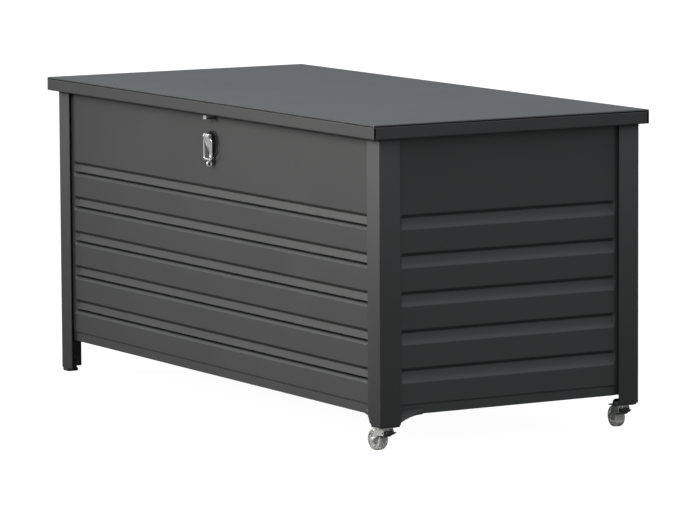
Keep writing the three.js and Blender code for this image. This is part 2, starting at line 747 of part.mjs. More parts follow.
// The lever hangs from its pin, leans back to the base and narrows towards its tip.
function latchLever() {
  const section = outline([
    [LEVER_PIN.x - 3, LEVER_PIN.y + 5],
    [LEVER_PIN.x - 5, LEVER_PIN.y],
    [BASE_FRONT - 3.6, LEVER_TIP + 9],
    [BASE_FRONT - 5.2, LEVER_TIP + 2],
    [BASE_FRONT - 3.8, LEVER_TIP + 1.4],
    [BASE_FRONT - 2, LEVER_TIP + 9],
    [LEVER_PIN.x + 3, LEVER_PIN.y - 12],
    [LEVER_PIN.x + 4, LEVER_PIN.y],
    [LEVER_PIN.x + 2, LEVER_PIN.y + 5],
  ].reverse());
  const body = extrudeAlongX(section, -LEVER_HALF, LEVER_HALF);
  const front = outline([
    [-LEVER_HALF, LEVER_PIN.y + 7],
    [-LEVER_HALF, LEVER_PIN.y - 12],
    [-LEVER_TIP_HALF, LEVER_TIP],
    [LEVER_TIP_HALF, LEVER_TIP],
    [LEVER_HALF, LEVER_PIN.y - 12],
    [LEVER_HALF, LEVER_PIN.y + 7],
  ]);
  const shaped = solid(body).intersect(solid(extrudeAlongY(front, LEVER_PIN.x - 20, FRONT_PANEL)));
  const trunnion = cylinderX(WIRE + 1, -LEVER_HALF, LEVER_HALF, BAIL_PIN.x, BAIL_PIN.y, 14);
  const cuts = [cylinderX(2.3, -20, 20, LEVER_PIN.x, LEVER_PIN.y, 14)];
  for (const side of [-1, 1]) {
    const slot = [EAR_INNER - GAP, EAR_OUTER + GAP].map((x) => side * x).sort((a, b) => a - b);
    const bore = [BAIL_TIP - GAP, 20].map((x) => side * x).sort((a, b) => a - b);
    cuts.push(cylinderX(EAR_REACH, ...slot, LEVER_PIN.x, LEVER_PIN.y, 24));
    cuts.push(cylinderX(WIRE + GAP, ...bore, BAIL_PIN.x, BAIL_PIN.y, 14));
  }
  return part("latch_lever", cut(shaped.add(solid(trunnion)), ...cuts), chrome);
}

function latchPin() {
  const reach = LEVER_HALF + 0.8;
  const shank = cylinderX(2, -reach, reach, LEVER_PIN.x, LEVER_PIN.y, 14);
  return part("latch_pin", shank, zinc);
}

// A loop of wire: two ends turned in to the lever, two legs and a rounded closed end.
function latchBail() {
  const radius = 9;
  const path = new THREE.CurvePath();
  const at = (x, z) => new THREE.Vector3(x, BAIL_PIN.x, z);
  const top = BAIL_PIN.y;
  const low = top - BAIL_LENGTH;
  const kappa = 0.5523 * radius;
  path.add(new THREE.LineCurve3(at(-BAIL_HALF, top), at(-BAIL_HALF, low + radius)));
  path.add(
    new THREE.CubicBezierCurve3(
      at(-BAIL_HALF, low + radius),
      at(-BAIL_HALF, low + radius - kappa),
      at(-BAIL_HALF + radius - kappa, low),
      at(-BAIL_HALF + radius, low),
    ),
  );
  path.add(new THREE.LineCurve3(at(-BAIL_HALF + radius, low), at(BAIL_HALF - radius, low)));
  path.add(
    new THREE.CubicBezierCurve3(
      at(BAIL_HALF - radius, low),
      at(BAIL_HALF - radius + kappa, low),
      at(BAIL_HALF, low + radius - kappa),
      at(BAIL_HALF, low + radius),
    ),
  );
  path.add(new THREE.LineCurve3(at(BAIL_HALF, low + radius), at(BAIL_HALF, top)));
  const round = new THREE.Shape();
  round.absarc(0, 0, WIRE, 0, 2 * Math.PI, false);
  const loop = new THREE.ExtrudeGeometry(round, {
    steps: 30,
    extrudePath: path,
    curveSegments: 4,
    bevelEnabled: false,
  });
  const tips = [
    cylinderX(WIRE, -BAIL_HALF - WIRE, -BAIL_TIP, BAIL_PIN.x, top, 12),
    cylinderX(WIRE, BAIL_TIP, BAIL_HALF + WIRE, BAIL_PIN.x, top, 12),
  ];
  return part("latch_bail", join(loop, ...tips), chrome);
}

const CATCH_HALF = 15; // the catch's plate
const HOOK_HALF = 5.5;
const CATCH_SHEET = 1.5;
const CATCH_BACK = FRONT_PANEL - 1.3;
const CATCH_LOW = 590.5;
const HOOK_LIP = CATCH_BACK - 17.5; // outer face of the upturned lip

// A bracket under the lid that hangs down in front of the panel, with an upturned hook for the bail.
function latchCatch() {
  const top = LID_INSIDE - GAP;
  const plateFront = CATCH_BACK - CATCH_SHEET;
  const bracket = outline([
    [HOOK_LIP, top],
    [HOOK_LIP, top - CATCH_SHEET],
    [plateFront, top - CATCH_SHEET],
    [plateFront, CATCH_LOW],
    [CATCH_BACK, CATCH_LOW],
    [CATCH_BACK, top],
  ]);
  const hook = outline([
    [HOOK_LIP, CATCH_LOW + 6.5],
    [HOOK_LIP, CATCH_LOW],
    [CATCH_BACK - 0.1, CATCH_LOW],
    [CATCH_BACK - 0.1, CATCH_LOW + CATCH_SHEET],
    [HOOK_LIP + CATCH_SHEET, CATCH_LOW + CATCH_SHEET],
    [HOOK_LIP + CATCH_SHEET, CATCH_LOW + 6.5],
  ]);
  const shape = join(
    extrudeAlongX(bracket, -CATCH_HALF, CATCH_HALF),
    extrudeAlongX(hook, -HOOK_HALF, HOOK_HALF),
  );
  return part("latch_catch", shape, chrome);
}

// ---------------------------------------------------------------- castors
const CASTOR_X = RIGHT - 26;
const CASTOR_INSET = 24; // swivel to the post's outer face
const CASTOR_TURN = { front: 7, back: -7 }; // how far each castor happens to stand turned, in degrees
const TRAIL = 20;
const WHEEL_RADIUS = 21.5;
const WHEEL_HALF = 10.2;
const AXLE_RADIUS = 2.8;
const CHEEK_INNER = 11.5;
const CHEEK = 1.4;
const CROWN = 1.2;
const CROWN_Z = WHEEL_RADIUS * 2 + 0.6;
const CROWN_HALF = 11;
const PLATE_TOP = CASTOR_CLEARANCE - PAN_FLOOR - 2 * GAP;
const PLATE_BOTTOM = PLATE_TOP - 1.8;
const PLATE_HALF_X = 16;
const PLATE_HALF_Y = 21;
const PEDAL_PIN = new THREE.Vector2(11, 36); // x, z
const PEDAL_PIN_RADIUS = 1.6;

// Drawn about the swivel line, which lies on the Z axis, with the wheel trailing towards -X.
function castorPlate() {
  const radius = 4;
  const x = PLATE_HALF_X - radius;
  const y = PLATE_HALF_Y - radius;
  const plate = new THREE.Shape();
  plate.moveTo(-x, -PLATE_HALF_Y);
  plate.absarc(x, -y, radius, -Math.PI / 2, 0, false);
  plate.absarc(x, y, radius, 0, Math.PI / 2, false);
  plate.absarc(-x, y, radius, Math.PI / 2, Math.PI, false);
  plate.absarc(-x, -y, radius, Math.PI, 1.5 * Math.PI, false);
  return extrudeAlongZ(plate, PLATE_BOTTOM, PLATE_TOP);
}

function castorFork() {
  const cheek = outline([
    [-TRAIL - 4.5, WHEEL_RADIUS],
    [-TRAIL - 3, WHEEL_RADIUS - 3.8],
    [-TRAIL + 3, WHEEL_RADIUS - 3.8],
    [-TRAIL + 5.5, WHEEL_RADIUS + 1],
    [-4, 31],
    [PEDAL_PIN.x + 3, PEDAL_PIN.y - 3.5],
    [PEDAL_PIN.x + 3, PEDAL_PIN.y + 3.5],
    [CROWN_HALF, CROWN_Z + 0.4],
    [-CROWN_HALF, CROWN_Z + 0.4],
  ]);
  const outer = CHEEK_INNER + CHEEK;
  const cheeks = [
    extrudeAlongY(cheek, -outer, -CHEEK_INNER),
    extrudeAlongY(cheek, CHEEK_INNER, outer),
  ];
  const crown = block(-CROWN_HALF, CROWN_HALF, -outer, outer, CROWN_Z, CROWN_Z + CROWN);
  const race = cylinderZ(CROWN_HALF + 2, 0, 0, CROWN_Z + CROWN - 0.2, PLATE_BOTTOM - GAP, 28);
  const bores = [
    cylinderY(AXLE_RADIUS + GAP, -TRAIL, -20, 20, WHEEL_RADIUS, 14),
    cylinderY(PEDAL_PIN_RADIUS + GAP, PEDAL_PIN.x, -20, 20, PEDAL_PIN.y, 12),
  ];
  return cut(join(...cheeks, crown, race), ...bores);
}

function castorWheel() {
  const bore = AXLE_RADIUS + GAP;
  const profile = [
    [bore, -WHEEL_HALF],
    [7, -WHEEL_HALF],
    [8, -WHEEL_HALF + 3],
    [WHEEL_RADIUS - 5.5, -WHEEL_HALF + 3],
    [WHEEL_RADIUS - 4.5, -WHEEL_HALF + 0.6],
    [WHEEL_RADIUS - 2, -WHEEL_HALF + 0.6],
    [WHEEL_RADIUS - 0.4, -WHEEL_HALF + 2.6],
    [WHEEL_RADIUS, -2.5],
    [WHEEL_RADIUS, 2.5],
    [WHEEL_RADIUS - 0.4, WHEEL_HALF - 2.6],
    [WHEEL_RADIUS - 2, WHEEL_HALF - 0.6],
    [WHEEL_RADIUS - 4.5, WHEEL_HALF - 0.6],
    [WHEEL_RADIUS - 5.5, WHEEL_HALF - 3],
    [8, WHEEL_HALF - 3],
    [7, WHEEL_HALF],
    [bore, WHEEL_HALF],
    [bore, -WHEEL_HALF],
  ].map(([radius, y]) => new THREE.Vector2(radius, y));
  return new THREE.LatheGeometry(profile, 24).translate(-TRAIL, 0, WHEEL_RADIUS);
}

function castorAxle() {
  const outer = CHEEK_INNER + CHEEK;
  const shank = cylinderY(AXLE_RADIUS, -TRAIL, -outer - 1, outer + 1, WHEEL_RADIUS, 14);
  const heads = [-1, 1].map((side) => {
    const near = side * (outer + GAP);
    const far = side * (outer + 2.2);
    return cylinderY(4.6, -TRAIL, Math.min(near, far), Math.max(near, far), WHEEL_RADIUS, 16);
  });
  return join(shank, ...heads);
}

// The brake pedal turns on a pin across the fork. Its lobe swings to the tyre when it is trodden down.
function castorPedal() {
  const half = CHEEK_INNER - 0.8;
  const section = outline([
    [-9, -5.6],
    [-9, -8],
    [-6.4, -8.4],
    [3, -3.2],
    [9, -1],
    [13.5, 2.2],
    [12.9, 3.6],
    [8, 1.2],
    [3, 3.4],
    [-2.5, 3.4],
  ].map(([x, z]) => [PEDAL_PIN.x + x, PEDAL_PIN.y + z]));
  const reach = CHEEK_INNER + CHEEK + 1;
  const pin = cylinderY(PEDAL_PIN_RADIUS, PEDAL_PIN.x, -reach, reach, PEDAL_PIN.y, 12);
  return join(extrudeAlongY(section, -half, half), pin);
}

function castor(side, y) {
  const swivelled = group(
    part("castor_fork_" + side, castorFork(), zinc),
    part("castor_wheel_" + side, castorWheel(), clearGrey),
    part("castor_axle_" + side, castorAxle(), zinc),
    part("castor_pedal_" + side, castorPedal(), blackPlastic),
  );
  swivelled.rotation.z = THREE.MathUtils.degToRad(CASTOR_TURN[side]);
  const made = group(part("castor_plate_" + side, castorPlate(), zinc), swivelled);
  made.position.set(CASTOR_X, y, 0);
  return made;
}

// ---------------------------------------------------------------- assembly
const box = new THREE.Group();
box.name = "deck_storage_box";
box.add(...CORNERS.map(corner));
box.add(gussets());
box.add(walls(), floor());
box.add(lidSkin());
box.add(...LID_RIB_XS.map((x, i) => lidRib("lid_rib_" + (i + 1), x)));
box.add(lidBuffer("lid_buffer_left", -575), lidBuffer("lid_buffer_right", 575));
box.add(...HINGE_XS.map((x, i) => hinge(i + 1, x)));
for (const [side, sign] of [["left", -1], ["right", 1]]) {
  box.add(strut(side, sign), strutBodyBracket(side, sign), strutLidBracket(side, sign));
}
box.add(latchBase(), latchLever(), latchPin(), latchBail(), latchCatch());
box.add(castor("front", FRONT + CASTOR_INSET), castor("back", BACK - CASTOR_INSET));

export default box;
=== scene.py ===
"""Looks for the deck storage box: powder-coated folded sheet, chrome latch, zinc fittings and clear castors.

Metres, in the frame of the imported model: +X along the length towards the castors, -Y towards the
latch, +Z up. Sizes below are millimetres times MM.
"""

import json
import math

import bmesh
import bpy
from mathutils import Matrix, Vector


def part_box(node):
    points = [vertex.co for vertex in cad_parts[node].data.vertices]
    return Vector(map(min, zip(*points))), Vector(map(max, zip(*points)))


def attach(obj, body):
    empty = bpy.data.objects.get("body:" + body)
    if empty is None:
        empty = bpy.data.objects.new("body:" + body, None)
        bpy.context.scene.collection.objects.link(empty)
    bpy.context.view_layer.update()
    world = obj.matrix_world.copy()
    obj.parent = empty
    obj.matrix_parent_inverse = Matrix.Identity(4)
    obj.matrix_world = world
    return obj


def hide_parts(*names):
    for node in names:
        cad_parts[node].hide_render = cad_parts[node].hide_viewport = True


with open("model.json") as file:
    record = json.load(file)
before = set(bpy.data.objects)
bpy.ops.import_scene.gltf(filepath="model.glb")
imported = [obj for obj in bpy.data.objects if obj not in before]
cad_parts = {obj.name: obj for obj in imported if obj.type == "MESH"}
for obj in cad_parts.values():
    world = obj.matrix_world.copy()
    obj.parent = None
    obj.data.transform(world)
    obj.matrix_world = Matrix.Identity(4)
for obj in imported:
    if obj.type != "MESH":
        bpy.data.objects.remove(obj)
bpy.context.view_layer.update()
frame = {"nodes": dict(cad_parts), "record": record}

MM = 0.001
NODES = frame["nodes"]

# ---------------------------------------------------------------- sizes
POST_LOW, POST_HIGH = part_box("post_front_right")
RIGHT = POST_HIGH.x  # outer faces of the corner posts
FRONT = POST_LOW.y
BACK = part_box("post_back_right")[1].y
MIDDLE = (FRONT + BACK) / 2
POST_LEG = POST_HIGH.x - POST_LOW.x
POST_TOP = POST_HIGH.z
POST_SHEET = 1.5 * MM
POST_BEND = 2.6 * MM
FOOT_POST_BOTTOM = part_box("post_front_left")[0].z
CASTOR_POST_BOTTOM = POST_LOW.z

PANEL_LOW, PANEL_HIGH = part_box("front_panel")
RECESS = 8 * MM  # wall panels sit this far behind the posts' faces
PANEL_SHEET = 1 * MM
PANEL_RIM = 18 * MM  # flanges along the panels' upper and lower edges

LID_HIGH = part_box("lid_skin")[1]


# ---------------------------------------------------------------- node tree helpers
def value_noise(tree, vector, scale, detail=2.0, roughness=0.5):
    """A noise node's factor at the given scale, in waves per metre."""
    noise = tree.nodes.new("ShaderNodeTexNoise")
    noise.inputs["Scale"].default_value = scale
    noise.inputs["Detail"].default_value = detail
    noise.inputs["Roughness"].default_value = roughness
    tree.links.new(vector, noise.inputs["Vector"])
    return noise.outputs["Fac"]


def calculate(tree, operation, first, second=None, third=None):
    """A math node. Sockets are linked and numbers are set."""
    node = tree.nodes.new("ShaderNodeMath")
    node.operation = operation
    for socket, given in zip(node.inputs, (first, second, third)):
        if given is None:
            continue
        if isinstance(given, (int, float)):
            socket.default_value = given
        else:
            tree.links.new(given, socket)
    return node.outputs[0]


def spread(tree, factor, low, high, to_low=0.0, to_high=1.0):
    """Maps the factor from low..high to another range, smoothly and clamped."""
    node = tree.nodes.new("ShaderNodeMapRange")
    node.interpolation_type = "SMOOTHSTEP"
    tree.links.new(factor, node.inputs["Value"])
    for name, number in zip(("From Min", "From Max", "To Min", "To Max"), (low, high, to_low, to_high)):
        node.inputs[name].default_value = number
    return node.outputs["Result"]


def blend_colours(tree, factor, first, second):
    """Mixes two colours, each a socket or a tuple, by a factor socket."""
    node = tree.nodes.new("ShaderNodeMix")
    node.data_type = "RGBA"
    for socket, given in ((node.inputs[0], factor), (node.inputs[6], first), (node.inputs[7], second)):
        if isinstance(given, tuple):
            socket.default_value = given
        else:
            tree.links.new(given, socket)
    return node.outputs[2]


def tint(tree, colour, tone):
    """A colour socket times a tone socket."""
    scaled = tree.nodes.new("ShaderNodeVectorMath")
    scaled.operation = "SCALE"
    tree.links.new(colour, scaled.inputs[0])
    tree.links.new(tone, scaled.inputs["Scale"])
    return scaled.outputs[0]


def opaque(colour):
    return (*colour, 1.0)


class Effect:
    """A shader node group with named inputs and outputs, filled in by its maker."""

    def __init__(self, name, inputs, outputs):
        self.tree = bpy.data.node_groups.new(name, "ShaderNodeTree")
        for socket_name, kind, default in inputs:
            socket = self.tree.interface.new_socket(socket_name, in_out="INPUT", socket_type=kind)
            if default is not None:
                socket.default_value = default
        for socket_name, kind in outputs:
            self.tree.interface.new_socket(socket_name, in_out="OUTPUT", socket_type=kind)
        self.given = self.tree.nodes.new("NodeGroupInput").outputs
        self.result = self.tree.nodes.new("NodeGroupOutput").inputs

    def send(self, name, socket):
        self.tree.links.new(socket, self.result[name])


COLOUR = "NodeSocketColor"
NUMBER = "NodeSocketFloat"
VECTOR = "NodeSocketVector"


def make_coat_texture():
    """Cured powder: fine orange peel, a soft mottle over a hand's width and pinpoint specks."""
    effect = Effect(
        "powder coat texture",
        [
            ("Place", VECTOR, None),
            ("Colour", COLOUR, (0.05, 0.05, 0.05, 1)),
            ("Mottle", NUMBER, 0.12),
            ("Peel Scale", NUMBER, 700.0),
            ("Roughness", NUMBER, 0.5),
        ],
        [("Colour", COLOUR), ("Roughness", NUMBER), ("Height", NUMBER)],
    )
    tree, given = effect.tree, effect.given
    broad = value_noise(tree, given["Place"], 5.0, 3.0)
    specks = value_noise(tree, given["Place"], 2600.0, 1.0)
    peel = tree.nodes.new("ShaderNodeTexNoise")
    peel.inputs["Detail"].default_value = 2.0
    tree.links.new(given["Place"], peel.inputs["Vector"])
    tree.links.new(given["Peel Scale"], peel.inputs["Scale"])
    lift = calculate(tree, "MULTIPLY_ADD", broad, 2.0, -1.0)
    lift = calculate(tree, "MULTIPLY_ADD", lift, given["Mottle"], 1.0)
    grain = calculate(tree, "MULTIPLY_ADD", specks, 0.25, 0.875)
    tone = calculate(tree, "MULTIPLY", lift, grain)
    effect.send("Colour", tint(tree, given["Colour"], tone))
    rough = calculate(tree, "MULTIPLY_ADD", broad, 0.12, -0.06)
    effect.send("Roughness", calculate(tree, "ADD", given["Roughness"], rough))
    effect.send("Height", peel.outputs["Fac"])
    return effect.tree


def make_edge_wear_and_sheen():
    """Lighter along folds and corners, part wear and part painted edge highlight: a broken mask that follows
    sharp edges.
    """
    effect = Effect(
        "edge wear and painted sheen",
        [("Place", VECTOR, None), ("Radius", NUMBER, 1.2 * MM), ("Amount", NUMBER, 0.5)],
        [("Mask", NUMBER)],
    )
    tree, given = effect.tree, effect.given
    rounding = tree.nodes.new("ShaderNodeBevel")
    rounding.samples = 4
    tree.links.new(given["Radius"], rounding.inputs["Radius"])
    surface = tree.nodes.new("ShaderNodeNewGeometry")
    dot = tree.nodes.new("ShaderNodeVectorMath")
    dot.operation = "DOT_PRODUCT"
    tree.links.new(rounding.outputs["Normal"], dot.inputs[0])
    tree.links.new(surface.outputs["Normal"], dot.inputs[1])
    edge = spread(tree, dot.outputs["Value"], 0.995, 0.86)
    patches = value_noise(tree, given["Place"], 60.0, 4.0, 0.65)
    broken = spread(tree, patches, 0.42, 0.72)
    mask = calculate(tree, "MULTIPLY", edge, broken)
    effect.send("Mask", calculate(tree, "MULTIPLY", mask, given["Amount"]))
    return effect.tree


def make_settled_dust():
    """A thin film of dust that lies on what faces up when the box is shut."""
    effect = Effect(
        "settled dust",
        [("Place", VECTOR, None), ("Facing", VECTOR, None), ("Amount", NUMBER, 0.15)],
        [("Mask", NUMBER)],
    )
    tree, given = effect.tree, effect.given
    parts = tree.nodes.new("ShaderNodeSeparateXYZ")
    tree.links.new(given["Facing"], parts.inputs[0])
    upward = spread(tree, parts.outputs["Z"], 0.25, 0.95)
    drift = value_noise(tree, given["Place"], 14.0, 5.0, 0.6)
    fine = value_noise(tree, given["Place"], 900.0, 2.0)
    cover = calculate(tree, "MULTIPLY", spread(tree, drift, 0.3, 0.75), spread(tree, fine, 0.35, 0.7))
    mask = calculate(tree, "MULTIPLY", upward, cover)
    effect.send("Mask", calculate(tree, "MULTIPLY", mask, given["Amount"]))
    return effect.tree


def make_metal_grain():
    """Fine drawn or tumbled lines in plated metal, with faint clouding of the plating."""
    effect = Effect(
        "metal grain",
        [
            ("Place", VECTOR, None),
            ("Colour", COLOUR, (0.6, 0.6, 0.6, 1)),
            ("Roughness", NUMBER, 0.3),
            ("Stretch", VECTOR, (1.0, 1.0, 0.05)),
            ("Clouding", NUMBER, 0.1),
        ],
        [("Colour", COLOUR), ("Roughness", NUMBER), ("Height", NUMBER)],
    )
    tree, given = effect.tree, effect.given
    stretched = tree.nodes.new("ShaderNodeVectorMath")
    stretched.operation = "MULTIPLY"
    tree.links.new(given["Place"], stretched.inputs[0])
    tree.links.new(given["Stretch"], stretched.inputs[1])
    lines = value_noise(tree, stretched.outputs[0], 3200.0, 3.0)
    clouds = value_noise(tree, given["Place"], 90.0, 3.0)
    dull = calculate(tree, "MULTIPLY", clouds, given["Clouding"])
    tone = calculate(tree, "SUBTRACT", 1.0, dull)
    effect.send("Colour", tint(tree, given["Colour"], tone))
    streak = calculate(tree, "MULTIPLY_ADD", lines, 0.12, -0.06)
    rough = calculate(tree, "ADD", given["Roughness"], streak)
    effect.send("Roughness", calculate(tree, "ADD", rough, dull))
    effect.send("Height", lines)
    return effect.tree


COAT_TEXTURE = make_coat_texture()
EDGE_WEAR_AND_SHEEN = make_edge_wear_and_sheen()
SETTLED_DUST = make_settled_dust()
METAL_GRAIN = make_metal_grain()


class Finish:
    """A material with one Principled BSDF, object coordinates in metres and helpers to fill it."""

    def __init__(self, name, **constants):
        self.material = bpy.data.materials.new(name)
        self.material.use_nodes = True
        self.tree = self.material.node_tree
        self.shader = self.tree.nodes["Principled BSDF"]
        for socket, number in constants.items():
            self.shader.inputs[socket.replace("_", " ")].default_value = number
        coordinates = self.tree.nodes.new("ShaderNodeTexCoord")
        self.place = coordinates.outputs["Object"]
        self.facing = coordinates.outputs["Normal"]

    def use(self, group, **settings):
        node = self.tree.nodes.new("ShaderNodeGroup")
        node.node_tree = group
        if "Place" in node.inputs:
            self.tree.links.new(self.place, node.inputs["Place"])
        if "Facing" in node.inputs:
            self.tree.links.new(self.facing, node.inputs["Facing"])
        for name, setting in settings.items():
            socket = node.inputs[name.replace("_", " ")]
            if isinstance(setting, bpy.types.NodeSocket):
                self.tree.links.new(setting, socket)
            else:
                socket.default_value = setting
        return node.outputs

    def feed(self, socket, source):
        self.tree.links.new(source, self.shader.inputs[socket])

    def raise_surface(self, height, distance, strength=1.0):
        bump = self.tree.nodes.new("ShaderNodeBump")
        bump.inputs["Distance"].default_value = distance
        bump.inputs["Strength"].default_value = strength
        self.tree.links.new(height, bump.inputs["Height"])
        self.feed("Normal", bump.outputs["Normal"])


DUST = (0.30, 0.29, 0.27)
BARE_PLATING_AND_SHEEN = (0.85, 0.85, 0.84)
TYRE_SOIL = (0.30, 0.27, 0.22)


def powder_coat(name, colour, wear_and_sheen_colour, roughness, edge_wear_and_sheen, dust):
    """Cured powder paint, lighter at the folds from wear and painted edge highlight, and dusty on top."""
    finish = Finish(name, Specular_IOR_Level=0.45)
    coat = finish.use(COAT_TEXTURE, Colour=opaque(colour), Roughness=roughness, Mottle=0.10)
    # Painted highlight along the folds, mixed with light wear.
    wear_and_sheen = finish.use(EDGE_WEAR_AND_SHEEN, Radius=1.3 * MM, Amount=edge_wear_and_sheen)["Mask"]
    dusty = finish.use(SETTLED_DUST, Amount=dust)["Mask"]
    coat_with_edge_sheen = blend_colours(finish.tree, wear_and_sheen, coat["Colour"], opaque(wear_and_sheen_colour))
    finish.feed("Base Color", blend_colours(finish.tree, dusty, coat_with_edge_sheen, opaque(DUST)))
    duller = calculate(finish.tree, "MULTIPLY_ADD", dusty, 0.3, coat["Roughness"])
    finish.feed("Roughness", duller)
    finish.raise_surface(coat["Height"], 0.05 * MM, 0.35)
    return finish.material


def plated_metal(name, colour, roughness, stretch, clouding, grain_depth, metallic=1.0):
    """Chrome or zinc on steel, paler along its edges from wear and painted edge highlight."""
    finish = Finish(name, Metallic=metallic)
    grain = finish.use(
        METAL_GRAIN, Colour=opaque(colour), Roughness=roughness, Stretch=stretch, Clouding=clouding
    )
    wear_and_sheen = finish.use(EDGE_WEAR_AND_SHEEN, Radius=0.5 * MM, Amount=0.35)["Mask"]
    lighter = blend_colours(finish.tree, wear_and_sheen, grain["Colour"], opaque(BARE_PLATING_AND_SHEEN))
    finish.feed("Base Color", lighter)
    finish.feed("Roughness", grain["Roughness"])
    finish.raise_surface(grain["Height"], grain_depth, 0.5)
    return finish.material


def moulded(name, colour, scuff_and_sheen_colour, roughness, pebble_scale, pebble_depth, edge_wear_and_sheen=0.5):
    """Moulded plastic or rubber: a pebbled skin that goes lighter along its edges, from scuffs and painted
    edge highlight.
    """
    finish = Finish(name, Specular_IOR_Level=0.4)
    coat = finish.use(
        COAT_TEXTURE, Colour=opaque(colour), Roughness=roughness, Mottle=0.2, Peel_Scale=pebble_scale
    )
    wear_and_sheen = finish.use(EDGE_WEAR_AND_SHEEN, Radius=1.5 * MM, Amount=edge_wear_and_sheen)["Mask"]
    finish.feed("Base Color", blend_colours(finish.tree, wear_and_sheen, coat["Colour"], opaque(scuff_and_sheen_colour)))
    finish.feed("Roughness", coat["Roughness"])
    finish.raise_surface(coat["Height"], pebble_depth, 0.6)
    return finish.material


def smoky_tyre():
    """Clear grey soft plastic with faint rings of haze and dirt picked up by the tread."""
    finish = Finish("smoky clear tyre", Transmission_Weight=0.55, IOR=1.45, Metallic=0.0)
    coat = finish.use(
        COAT_TEXTURE, Colour=(0.62, 0.61, 0.56, 1), Roughness=0.22, Mottle=0.25, Peel_Scale=500.0
    )
    haze = value_noise(finish.tree, finish.place, 160.0, 4.0, 0.6)
    soil = spread(finish.tree, haze, 0.48, 0.75, 0.0, 0.55)
    finish.feed("Base Color", blend_colours(finish.tree, soil, coat["Colour"], opaque(TYRE_SOIL)))
    finish.feed("Roughness", coat["Roughness"])
    finish.raise_surface(coat["Height"], 0.08 * MM, 0.4)
    return finish.material


ANTHRACITE = powder_coat(
    "anthracite powder coat", (0.043, 0.0435, 0.0425), (0.16, 0.16, 0.155), 0.46, edge_wear_and_sheen=0.22, dust=0.05
)
INNER_PAINT = powder_coat(
    "thin inside coat", (0.040, 0.041, 0.041), (0.20, 0.20, 0.19), 0.55, edge_wear_and_sheen=0.35, dust=0.10
)
CHROME = plated_metal(
    "polished chrome", (0.88, 0.88, 0.88), 0.12, (1.0, 1.0, 0.3), 0.05, 0.01 * MM, metallic=0.72
)
ZINC = plated_metal("zinc plate", (0.63, 0.64, 0.63), 0.27, (0.15, 1.0, 1.0), 0.18, 0.02 * MM)
# Painted reflection: a paler, partly diffuse copy of the zinc, so the castor plates and forks show bright
# edge reflections that the studio's reflections don't give them.
CASTOR_ZINC_BRIGHTENED = plated_metal(
    "castor zinc with painted brightness", (0.82, 0.82, 0.80), 0.36, (0.15, 1.0, 1.0), 0.12, 0.02 * MM, metallic=0.72
)
# Real black enamel on the strut tubes and rivets. The same black is also the painted shade on the latch base
# and the catch.
BLACK_ENAMEL_AND_SHADE = powder_coat(
    "gloss black enamel and painted shade", (0.012, 0.012, 0.013), (0.10, 0.10, 0.10), 0.20, edge_wear_and_sheen=0.3, dust=0.06
)
BLACK_PLASTIC = moulded(
    "moulded black foot", (0.022, 0.022, 0.023), (0.12, 0.12, 0.12), 0.55, 900.0, 0.05 * MM
)
DARK_PEDAL = moulded(
    "dark pedal plastic", (0.030, 0.030, 0.032), (0.14, 0.14, 0.14), 0.42, 1200.0, 0.04 * MM
)
# Near-black for the plate behind the latch: a painted shadow of the latch on the wall.
LATCH_SHADOW_BLACK = moulded("painted latch shadow black", (0.006, 0.006, 0.006), (0.02, 0.02, 0.02), 0.7, 900.0, 0.04 * MM, edge_wear_and_sheen=0.2)
RUBBER = moulded("buffer rubber", (0.020, 0.020, 0.020), (0.07, 0.07, 0.07), 0.78, 700.0, 0.06 * MM)
TYRE = smoky_tyre()
HUB = moulded("pale grey hub", (0.46, 0.45, 0.41), (0.25, 0.23, 0.20), 0.38, 1000.0, 0.03 * MM, edge_wear_and_sheen=0.25)


# ---------------------------------------------------------------- shape helpers
def rounded(points, radius, steps):
    """An open path with each corner replaced by a short curve of about that radius."""
    path = [tuple(points[0])]
    for before, corner, after in zip(points, points[1:], points[2:]):
        corner = Vector(corner)
        back, on = Vector(before) - corner, Vector(after) - corner
        start = corner + back.normalized() * min(radius, back.length * 0.45)
        end = corner + on.normalized() * min(radius, on.length * 0.45)
        for k in range(steps + 1):
            t = k / steps
            path.append(tuple(start.lerp(corner, t).lerp(corner.lerp(end, t), t)))
    path.append(tuple(points[-1]))
    return path


def smoothstep(t):
    t = min(max(t, 0.0), 1.0)
    return t * t * (3 - 2 * t)


def grid_faces(columns, rows, first=0):
    """Quads of a grid stored column by column."""
    faces = []
    for i in range(columns - 1):
        for j in range(rows - 1):
            a = first + i * rows + j
            faces.append((a, a + rows, a + rows + 1, a + 1))
    return faces


def add_piece(name, points, faces, finish, body, replaces=(), smooth=True):
    """A new mesh piece from points in metres, with its finish, riding on a CAD body."""
    mesh = bpy.data.meshes.new(name)
    mesh.from_pydata([tuple(p) for p in points], [], faces)
    mesh.polygons.foreach_set("use_smooth", [smooth] * len(mesh.polygons))
    mesh.materials.append(finish)
    made = bpy.data.objects.new(name, mesh)
    bpy.context.scene.collection.objects.link(made)
    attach(made, body)
    if replaces:
        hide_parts(*replaces)
    return made


def thicken(made, thickness):
    """Sheet thickness behind the drawn face."""
    solidify = made.modifiers.new("sheet thickness", "SOLIDIFY")
    solidify.thickness = thickness
    solidify.offset = -1
    solidify.use_even_offset = True
    flatten_shading(made)


def flatten_shading(made):
    """Lets the wide flat faces set the shading beside narrow bends."""
    weighted = made.modifiers.new("flat faces lead", "WEIGHTED_NORMAL")
    weighted.weight = 90


def ease_edges(made, width, angle=32):
    """Takes the sharpness off real edges, and shades the rest smoothly."""
    bevel = made.modifiers.new("eased edges", "BEVEL")
    bevel.width = width
    bevel.segments = 2
    bevel.limit_method = "ANGLE"
    bevel.angle_limit = math.radians(angle)
    bevel.harden_normals = True


